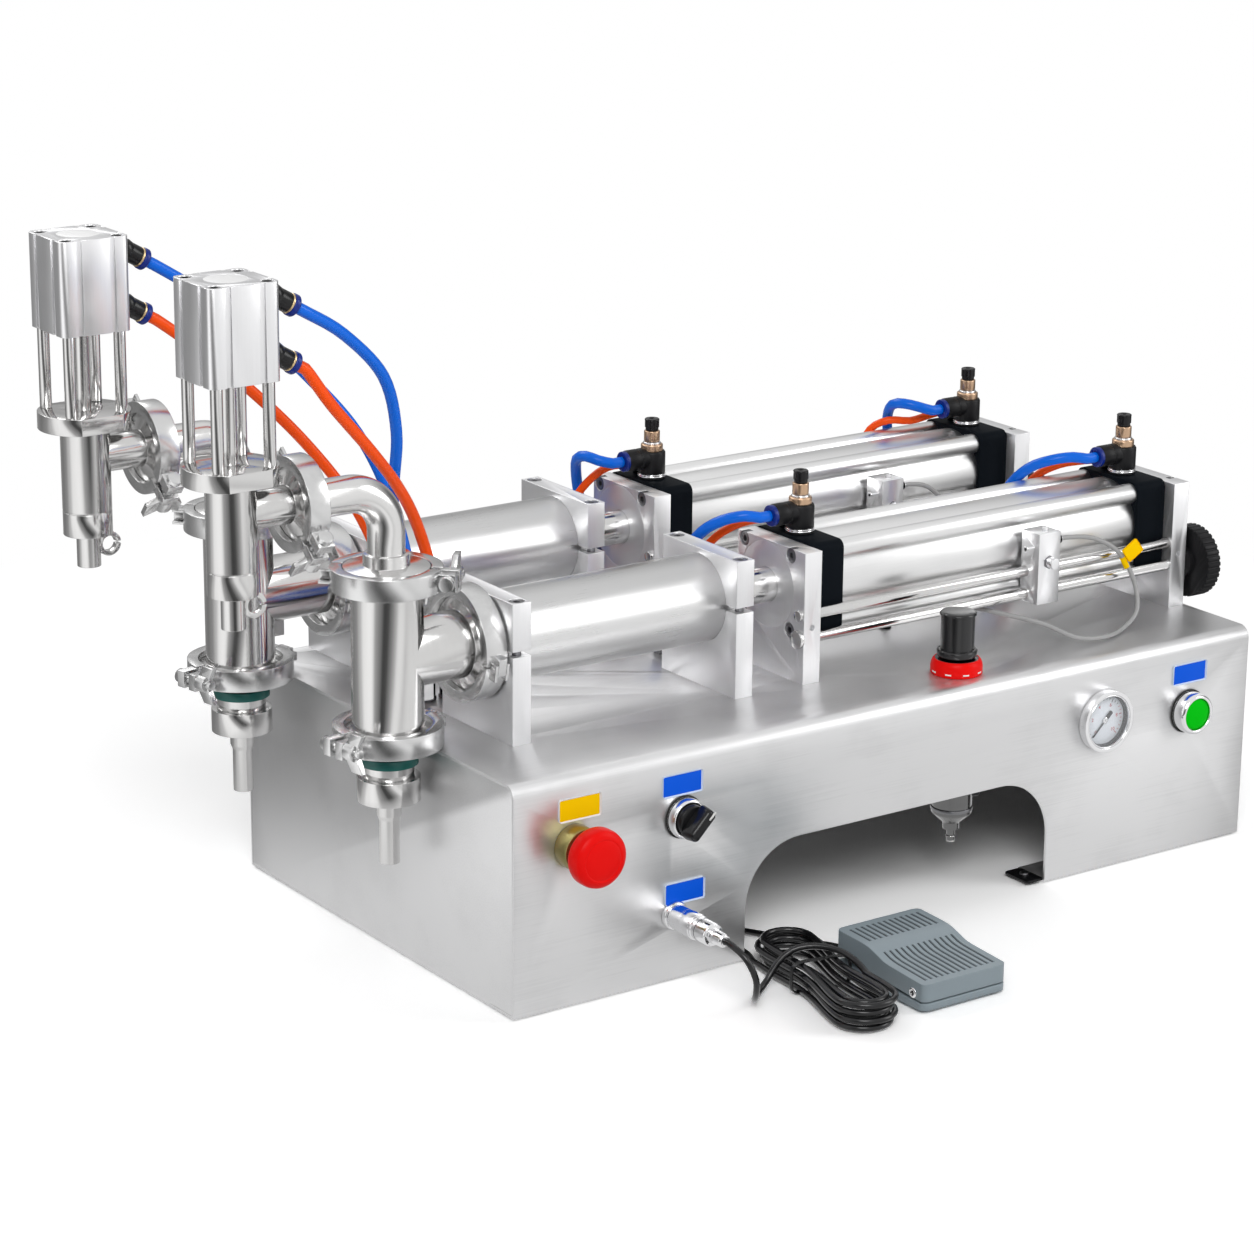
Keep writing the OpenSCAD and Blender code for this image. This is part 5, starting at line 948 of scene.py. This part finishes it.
def makeTreadleShell():
    p = pedal
    shell = treadleSheet("treadleShell", p["x"], p["wide"], p["in"], p["deep"] + p["in"],
                         p["cuts"], 0)
    editing(shell)
    bpy.ops.mesh.select_mode(type="EDGE")
    bpy.ops.mesh.region_to_loop()
    bpy.ops.mesh.extrude_region_move(TRANSFORM_OT_translate={"value": (0, 0, -0.001)})
    doneEditing()
    front, low, high = at(0, p["y"], 0).y, *p["skirt"]
    for v in shell.data.vertices:
        if v.select:
            far = (v.co.y - front) * 1000
            v.co.z = (low + (high - low) * far / (p["deep"] + 2 * p["in"])) / 1000
    for e in shell.data.edges:
        a, b = (shell.data.vertices[i].co for i in e.vertices)
        across = abs(abs(a.x - at(p["x"], 0, 0).x) * 2000 - p["wide"]) < 0.1
        along = min(abs((a.y - front) * 1000 - t) for t in (p["in"], p["deep"] + p["in"])) < 0.1
        e.select = abs((a - b).normalized().z) > 0.99 and across and along
    bpy.ops.object.mode_set(mode="EDIT")
    bpy.ops.mesh.bevel(offset=p["corner"] / 1000, segments=6, affect="EDGES")
    bpy.ops.mesh.select_mode(type="VERT")
    bpy.ops.mesh.select_all(action="SELECT")
    bpy.ops.mesh.normals_make_consistent(inside=False)
    doneEditing()
    rounded(shell, p["edge"], 4, 45)
    thickened(shell, p["wall"])
    notch = block("cordNotch", p["notch"], at(p["cordX"], p["y"] + p["deep"], 0), "pedalPlastic",
                  corner=2.5, round=0, along=(0, 1, 0))
    only(shell)
    gap = shell.modifiers.new("cordNotch", "BOOLEAN")
    gap.operation, gap.object = "DIFFERENCE", notch
    bpy.ops.object.modifier_apply(modifier=gap.name)
    bpy.data.objects.remove(notch)
    shell.data.materials.clear()
    smoothed(shell, 50)
    shell.data.materials.append(finish("pedalPlastic"))
    return shell


def makeTreadle():
    p = pedal
    lines = []
    (wide, lift, thick), (ribWide, ribLift, ribThick) = p["groove"], p["rib"]
    for near, far in p["rows"]:
        for i in range(p["grooves"]):
            x = p["x"] + (i - (p["grooves"] - 1) / 2) * p["pitch"]
            # Each groove is a dark strip lifted over the top, painted shade, with a real rib
            # beside it
            shadeStrip = treadleSheet("treadleGrooveShade", x, wide, near, far, p["lineCuts"], lift)
            thickened(shadeStrip, thick)
            rib = treadleSheet("treadleRib", x + p["ribAside"], ribWide, near, far,
                               p["lineCuts"], ribLift)
            rounded(thickened(rib, ribThick), 0.3)
            shadeStrip.data.materials.append(finish("pedalGrooveShade"))
            rib.data.materials.append(finish("pedalPlastic"))
            lines += [shadeStrip, smoothed(rib)]
    tread = joined("pedalTreadle", [makeTreadleShell()] + lines)
    carried(tread, "pedal_treadle", "blue_grey", "pedal_treadle")
    hinge = at(p["x"] - p["wide"] / 2 - p["hingeOut"], *p["hinge"])
    screw = turned("hingeScrew", [
        (3.4, -0.2), (3.6, 0), (3.6, 0.5), (3.0, 0.9), (1.9, 0.9), (1.9, 0.1)
    ], "chrome", hinge, (-1, 0, 0), sides=32)
    # A dark hex disc at the bottom of the screw's recess: painted shade for a hex socket
    socketShade = turned("hingeSocketShade", [(1.9, -0.1), (1.9, 0.2)], "darkWell", hinge, (-1, 0, 0), sides=6)
    carried(joined("hingeScrew", [screw, socketShade]), "machine", "screws")


makeTreadle()
print("stage: foot switch done")

# Cords and tubes
hank = {"x": 199, "y": -74, "lean": -10, "run": 105, "fold": 13.5, "step": 6.2, "waist": 5,
        "space": 0.9, "start": 0.2, "stop": 0.25, "turns": 1.5, "layers": 4, "rings": 48,
        "cord": 4.5, "tieThick": 1.2, "tiePlay": 0.3, "wraps": 3, "wrapFrom": 5.2,
        "wrapStep": 1.3, "wrap": 0.6, "wrapSides": 48, "wrapBend": (0.35, 0.5), "tieOver": 1.5,
        "leave": 1 / 24, "spacing": 1.5}
plugEnd, pedalIn = Vector((127.5, -58, 48)), Vector((242, -44, 10.4))
leadMiddle = [(130, -77, 42), (135, -82, 28), (140, -76, 14), (148, -64, 5), (159, -54, 4),
              (169, -50, 9), (177, -50, 19), (187, -53, 27), (199, -61, 30), (209, -73, 29),
              (214, -86, 25)]
tailMiddle = [(195, 8, 2.4), (194, 24, 2.4), (184, 38, 2.4), (166, 48, 2.4), (158, 66, 2.4),
              (172, 80, 2.4), (194, 74, 2.4), (212, 52, 2.4), (228, 26, 2.4), (240, 2, 3),
              (244, -20, 7)]


def eased(a, b, c, d, t):
    return (2 * b + (c - a) * t + (2 * a - 5 * b + 4 * c - d) * t * t
            + (3 * b - a - 3 * c + d) * t ** 3) / 2


# A smooth line through the points, straight between the first two and the last two
def routed(points, spacing):
    p = [Vector(v) for v in points]
    line = [p[0]]
    for a, b, c, d in zip(p, p[1:], p[2:], p[3:]):
        steps = max(1, math.ceil((c - b).length / spacing))
        line += [eased(a, b, c, d, k / steps) for k in range(steps)]
    return line + [p[-2], p[-1]]


def hankPoint(p):
    h = hank
    layer = min(math.floor(p / h["turns"]), h["layers"] - 1)
    q = p / h["turns"] - layer
    wide = h["fold"] + h["turns"] * h["step"] * (1 - q if layer % 2 == 0 else q)
    climb = min((p - layer * h["turns"]) * 4, 1)
    smooth = climb * climb * (3 - 2 * climb)
    up = (h["cord"] + h["space"]) * (h["layers"] - 1 - (0 if layer == 0 else layer - 1 + smooth))
    s = (p - math.floor(p)) * 4
    t = s - math.floor(s)
    half = h["run"] / 2
    turn = math.pi * t
    narrow = wide - h["waist"] * math.sin(turn) ** 2
    if s < 1:
        x, y = narrow, half - t * h["run"]
    elif s < 2:
        x, y = wide * math.cos(turn), -half - wide * math.sin(turn)
    elif s < 3:
        x, y = -narrow, t * h["run"] - half
    else:
        x, y = -wide * math.cos(turn), half + wide * math.sin(turn)
    lean = math.radians(h["lean"])
    return Vector((h["x"] + x * math.cos(lean) - y * math.sin(lean),
                   h["y"] + x * math.sin(lean) + y * math.cos(lean),
                   h["tieThick"] + h["tiePlay"] + h["cord"] / 2 + up))


def hankLine():
    total = hank["turns"] * hank["layers"]
    first, last = hank["start"], total - hank["stop"]
    count = round((last - first) * hank["rings"])
    return [hankPoint(first + (last - first) * i / count) for i in range(count + 1)]


def tubeCurve(name, points, radius, look, closed=False):
    data = bpy.data.curves.new(name, "CURVE")
    data.dimensions = "3D"
    data.bevel_depth = radius / 1000
    data.bevel_resolution = 4
    data.use_fill_caps = True
    line = data.splines.new("POLY")
    line.points.add(len(points) - 1)
    for target, p in zip(line.points, points):
        target.co = (*at(*p), 1)
    line.use_smooth = True
    line.use_cyclic_u = closed
    obj = bpy.data.objects.new(name, data)
    bpy.context.scene.collection.objects.link(obj)
    data.materials.append(finish(look))
    return obj


def lengthOf(points):
    return sum((b - a).length for a, b in zip(points, points[1:])) / 1000


# Three rings of wire round the hank, each a rounded rectangle
def makeCordTie(wide, high):
    h, lean = hank, math.radians(hank["lean"])
    across, upright = h["wrapBend"]
    wraps = []
    for k in range(h["wraps"]):
        loop = []
        along = h["wrapFrom"] + h["wrapStep"] * k
        for i in range(h["wrapSides"]):
            a = 2 * math.pi * i / h["wrapSides"]
            x = (wide / 2 + h["wrap"]) * math.copysign(abs(math.cos(a)) ** across, math.cos(a))
            z = (high / 2 + h["wrap"]) * math.copysign(abs(math.sin(a)) ** upright, math.sin(a))
            loop.append((h["x"] + x * math.cos(lean) - along * math.sin(lean),
                         h["y"] + x * math.sin(lean) + along * math.cos(lean),
                         h["tieThick"] + high / 2 + z))
        wraps.append(tubeCurve("cordWrap", loop, h["wrap"], "cordJacket", closed=True))
    bpy.ops.object.select_all(action="DESELECT")
    for wrap in wraps:
        wrap.select_set(True)
    bpy.context.view_layer.objects.active = wraps[0]
    bpy.ops.object.convert(target="MESH")
    return carried(joined("cordTieWraps", wraps), "machine", "cord", "cord_tie")


def makeFootCord():
    h, d = hank, hank["cord"]
    coil = hankLine()
    total = h["turns"] * h["layers"]
    before = (coil[0] - hankPoint(h["start"] + h["leave"])).normalized()
    after = (coil[-1] - hankPoint(total - h["stop"] - h["leave"])).normalized()
    lead = routed([plugEnd, plugEnd - Vector((0, d, 0))] + leadMiddle
                  + [coil[0] + 2 * d * before, coil[0]], h["spacing"] * d)
    tail = routed([coil[-1], coil[-1] + 2 * d * after] + tailMiddle
                  + [pedalIn + Vector((0, 2 * d, 0)), pedalIn], h["spacing"] * d)
    line = lead + coil[1:] + tail[1:]
    cord = tubeCurve("footCord", line, d / 2, "cordJacket")
    wide = 2 * (h["fold"] + h["turns"] * h["step"] - h["waist"] + h["tieOver"]) + d
    high = (h["layers"] - 1) * (d + h["space"]) + d + 2 * h["tiePlay"]
    tie = makeCordTie(wide, high)
    carried(cord, "machine", "cord", "cord_lead", "cord_hank", "cord_tail")
    print("stage: foot switch cord", round(lengthOf(line), 3))


# Radii of the tubes, and where they start: length of an elbow, ports on the caps
air = {"radius": 4, "small": 3, "bulkTop": 177, "elbowLong": 18,
       "flowPort": (-27, 0, 274), "bossPort": (-8, 17, 266.5)}


def airStart(kind, station, end):
    if kind in ("low", "high"):
        tilt = math.radians(fitting["tilt"])
        down = Vector((math.cos(tilt), 0, -math.sin(tilt)))
        port = fitting["ports"][("low", "high").index(kind)]
        x, y = heads[station]
        ball = Vector((x + fitting["elbowOut"] + fitting["ball"], y, port))
        return ball + air["elbowLong"] * down, down
    x, y, z = air[kind + "Port"]
    return (Vector((machine["capX"][end] + x, machine["stationY"][station] + y, z)),
            Vector((-1, 0, 0)))


# Where it starts (kind, station, end), points between, bulkhead: blue, and orange where it is
# a head's lower tube or a small one
airRuns = [
    (("high", 0, 0), [(-50, 120, 442), (-14, 132, 408), (4, 146, 366), (10, 160, 325),
        (16, 172, 280), (30, 182, 235), (46, 186, 205)], 0),
    (("low", 0, 0), [(-62, 116, 398), (-28, 126, 362), (2, 142, 330), (26, 158, 298),
        (46, 170, 256), (62, 180, 212)], 1),
    (("high", 1, 0), [(-62, 291, 442), (-20, 287, 410), (16, 279, 374), (46, 266, 334),
        (62, 250, 288), (68, 234, 236)], 3),
    (("low", 1, 0), [(-66, 289, 404), (-30, 281, 372), (4, 268, 334), (32, 254, 292),
        (46, 238, 250), (50, 226, 212)], 2),
    (("flow", 0, 0), [(268, 116, 276), (257, 127, 272), (251, 143, 261), (249, 161, 241),
        (250, 178, 214)], 4),
    (("boss", 0, 0), [(288, 131, 267), (273, 135, 264), (264, 148, 252), (262, 164, 232),
        (265, 178, 206)], 5),
    (("flow", 1, 0), [(268, 296, 277), (263, 305, 279), (264, 318, 274), (271, 329, 258),
        (277, 333, 235), (278, 331, 208)], 6),
    (("boss", 1, 0), [(287, 311, 266), (276, 315, 259), (268, 323, 245), (263, 330, 226),
        (261, 331, 204)], 7),
    (("flow", 0, 1), [(570, 116, 276), (556, 124, 274), (546, 138, 266), (542, 156, 247),
        (545, 173, 217)], 8),
    (("boss", 0, 1), [(590, 131, 267), (575, 137, 265), (562, 147, 256), (557, 161, 236),
        (561, 173, 208)], 9),
    (("flow", 1, 1), [(569, 296, 278), (561, 303, 280), (559, 315, 277), (565, 328, 263),
        (571, 333, 239), (572, 331, 209)], 10),
    (("boss", 1, 1), [(590, 310, 265), (574, 311, 263), (558, 318, 264), (548, 328, 256),
        (544, 333, 237), (543, 331, 207)], 11),
]
cable = {"x": 516, "out": 46.5, "z": 233.6, "straight": 5.25, "top": 165, "down": 3.5,
         "radius": 1.75, "step": 5, "bends": (198, 168)}
cables = {
    "front": [(548, 66, 229), (572, 64, 215), (583, 58, 193), (580, 50, 174), (562, 42, 166),
        (535, 32, 165), (508, 34, 168), (488, 48, 178), (470, 68, 183), (452, 94, 186),
        (435, 121, 187), (424, 138, 183)],
    "rear": [(540, 246, 229), (556, 244, 213), (558, 240, 192), (546, 236, 174), (522, 236, 166),
        (500, 242, 172), (480, 254, 182), (462, 274, 187), (444, 302, 187), (430, 320, 183)],
}


def makeAirTubes():
    for k, (start, middle, end) in enumerate(airRuns):
        r = air["small"] if start[0] == "boss" else air["radius"]
        look = "blueTube" if start[0] in ("high", "flow") else "orangeTube"
        first, way = airStart(*start)
        last = Vector((*fitting["bulkheads"][end], air["bulkTop"]))
        line = routed([first, first + 2 * r * way] + middle + [last + Vector((0, 0, 2 * r)), last],
                      2 * r)
        tube = tubeCurve(f"airTube{k:02d}", line, r, look)
        carried(tube, "machine", "tube")
        if k == 0:
            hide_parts("air_tubes")


# What hangs from a sensor bracket has its placement baked into its mesh; it is not attached to the
# bracket
def followed(obj):
    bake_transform(obj)


def makeCables():
    for side, y in stations.items():
        ring = fitting["cableRings"][side]
        first = Vector((cable["x"], y - cable["out"], cable["z"]))
        last = Vector((*ring, cable["top"]))
        line = routed([first, first + Vector((cable["straight"], 0, 0))] + cables[side]
                      + [last + Vector((0, 0, cable["down"])), last], cable["step"])
        tube = tubeCurve(side + "SensorCable", line, cable["radius"], "greyCable")
        only(tube)
        bpy.ops.object.convert(target="MESH")
        followed(tube)
        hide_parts(side + "_sensor_cable")


def makeCableTag():
    tag = joined("cableTag", [
        block("tagFlag", (15, 11, 0.7), at(582, 60, 216), "yellowLabel", corner=1.2, round=0.15,
              along=(-0.15, -1, 0.2), spin=24),
        turned("tagWrap", [(1.9, -4.5), (2.3, -4.4), (2.3, 4.4), (1.9, 4.5)], "yellowLabel",
               at(577, 62.4, 207), (0.4, -0.2, -0.9), ring=True, round=0.1),
    ])
    followed(tag)


makeFootCord()
makeAirTubes()
makeCables()
makeCableTag()
print("stage: cords and tubes done")

# Floor, lamps, world. White from floorFade on, as the eye sees it; the floor near the machine
# is mirrored plain, and further off in bands
stageSet = {"floor": 60, "white": 0.62, "rough": 0.8, "shine": 0.05, "seenWhite": 1.30,
            "floorFade": (0.62, 1.05), "bandsFrom": (0.30, 0.52), "nearTone": 0.85,
            "topTone": 0.95, "topFrom": (0.25, 0.75), "worldLight": 0.45, "worldGloss": 1.0}
# Studio as metal sees it: share of a full turn from -X through -Y, and brightness
studioBands = [(0.00, 1.30), (0.018, 1.25), (0.045, 0.45), (0.07, 0.28), (0.092, 0.06),
               (0.115, 0.08), (0.14, 0.28), (0.165, 0.55), (0.194, 1.10), (0.225, 1.10),
               (0.26, 0.80), (0.285, 0.92), (0.31, 1.00), (0.43, 0.96), (0.47, 0.20),
               (0.53, 0.12), (0.58, 0.36), (0.66, 0.46), (0.74, 0.38), (0.84, 0.24),
               (0.89, 0.34), (0.93, 0.70), (0.96, 1.20), (1.00, 1.30)]
# Place, what it points at, size and power
lamps = {
    "key": ((-1.6, -2.4, 2.4), (0, 0, 0.2), (1.6, 1.6), 56),
    "fill": ((2.4, -1.8, 1.6), (0.1, 0, 0.2), (1.2, 2.0), 26),
    "back": ((-0.4, 2.2, 2.2), (0, 0.2, 0.2), (2.0, 1.2), 26),
}


def grey(level):
    return (level, level, level, 1)


# Brightness by the angle of a place or a direction about the upright axis
def makeBandGroup():
    group, start, end = newGroup("studioBands", [("Vector", "NodeSocketVector", (0, 0, 0))],
                                 ["Level", "Distance"])
    split = newNode(group, "SeparateXYZ")
    turn = newNode(group, "Math", operation="ARCTAN2")
    share = newNode(group, "MapRange", {"From Min": -math.pi, "From Max": math.pi})
    away = newNode(group, "VectorMath", operation="LENGTH")
    ramp = newNode(group, "ValToRGB")
    ramp.color_ramp.interpolation = "EASE"
    spots = ramp.color_ramp.elements
    spots[0].position, spots[1].position = 0, 1
    for around, level in studioBands[1:-1]:
        spots.new(around)
    for spot, (around, level) in zip(spots, studioBands):
        spot.position, spot.color = around, grey(level)
    wire(group, (start, "Vector", split, 0), (start, "Vector", away, 0), (split, "Y", turn, 0),
         (split, "X", turn, 1), (turn, 0, share, "Value"), (share, "Result", ramp, "Fac"),
         (ramp, "Color", end, "Level"), (away, "Value", end, "Distance"))
    return group


bandGroup = makeBandGroup()


def makeStage():
    s = stageSet
    bpy.ops.mesh.primitive_plane_add(size=s["floor"], location=(0, 0, 0))
    floor = named("floor")
    material, tree, shader = newMaterial("floorWhite")
    shader.inputs["Base Color"].default_value = grey(s["white"])
    shader.inputs["Roughness"].default_value = s["rough"]
    shader.inputs["Specular IOR Level"].default_value = s["shine"]
    pale = newNode(tree, "BsdfDiffuse", {"Color": grey(s["seenWhite"])})
    plain, mirrored = newNode(tree, "Emission"), newNode(tree, "Emission")
    seen, fade, eye = [newNode(tree, "MixShader") for k in range(3)]
    path, place = newNode(tree, "LightPath"), newNode(tree, "TexCoord")
    bands = newNode(tree, "Group", node_tree=bandGroup)
    edge, begin = [newNode(tree, "MapRange", {"From Min": low, "From Max": high})
                   for low, high in (s["floorFade"], s["bandsFrom"])]
    tone = newNode(tree, "Mix", {"A": grey(s["nearTone"])}, data_type="RGBA")
    wire(tree, (place, "Object", bands, "Vector"), (bands, "Distance", edge, "Value"),
         (bands, "Distance", begin, "Value"), (begin, "Result", tone, "Factor"),
         (bands, "Level", tone, "B"), (tone, "Result", mirrored, "Color"),
         (edge, "Result", fade, "Fac"), (path, "Is Camera Ray", eye, "Fac"),
         (shader, 0, eye, 1), (pale, 0, eye, 2), (eye, 0, fade, 1), (plain, 0, fade, 2),
         (path, "Is Glossy Ray", seen, "Fac"), (fade, 0, seen, 1), (mirrored, 0, seen, 2),
         (seen, 0, tree.nodes["Material Output"], "Surface"))
    floor.data.materials.append(material)


def makeLamps():
    for name, (place, target, size, power) in lamps.items():
        data = bpy.data.lights.new(name, "AREA")
        data.shape = "RECTANGLE"
        data.size, data.size_y = size
        data.energy = power
        light = bpy.data.objects.new(name, data)
        place, target = Vector(place), Vector(target)
        light.matrix_world = (Matrix.Translation(place)
                              @ (target - place).to_track_quat("-Z", "Y").to_matrix().to_4x4())
        bpy.context.scene.collection.objects.link(light)


# White for the eye, and for metal soft boxes with darker gaps between them
def makeWorld():
    s = stageSet
    world = bpy.data.worlds.new("studio")
    bpy.context.scene.world = world
    world.use_nodes = True
    tree = world.node_tree
    tree.nodes.clear()
    out, mixed = newNode(tree, "OutputWorld"), newNode(tree, "MixShader")
    plain, studio = newNode(tree, "Background", {"Color": grey(1)}), newNode(tree, "Background")
    path, place = newNode(tree, "LightPath"), newNode(tree, "TexCoord")
    split, bands = newNode(tree, "SeparateXYZ"), newNode(tree, "Group", node_tree=bandGroup)
    low, high = s["topFrom"]
    top = newNode(tree, "MapRange", {"From Min": low, "From Max": high})
    over = newNode(tree, "Mix", {"B": grey(s["topTone"])}, data_type="RGBA")
    power = newNode(tree, "MapRange", {"To Min": s["worldLight"], "To Max": s["worldGloss"]})
    wire(tree, (place, "Generated", split, 0), (place, "Generated", bands, "Vector"),
         (split, "Z", top, "Value"), (top, "Result", over, "Factor"),
         (bands, "Level", over, "A"), (over, "Result", studio, "Color"),
         (path, "Is Glossy Ray", power, "Value"), (power, "Result", studio, "Strength"),
         (path, "Is Camera Ray", mixed, "Fac"), (studio, 0, mixed, 1), (plain, 0, mixed, 2),
         (mixed, 0, out, "Surface"))


makeStage()
makeWorld()
makeLamps()
bpy.context.scene.view_settings.view_transform = "Standard"
print("stage: light set")
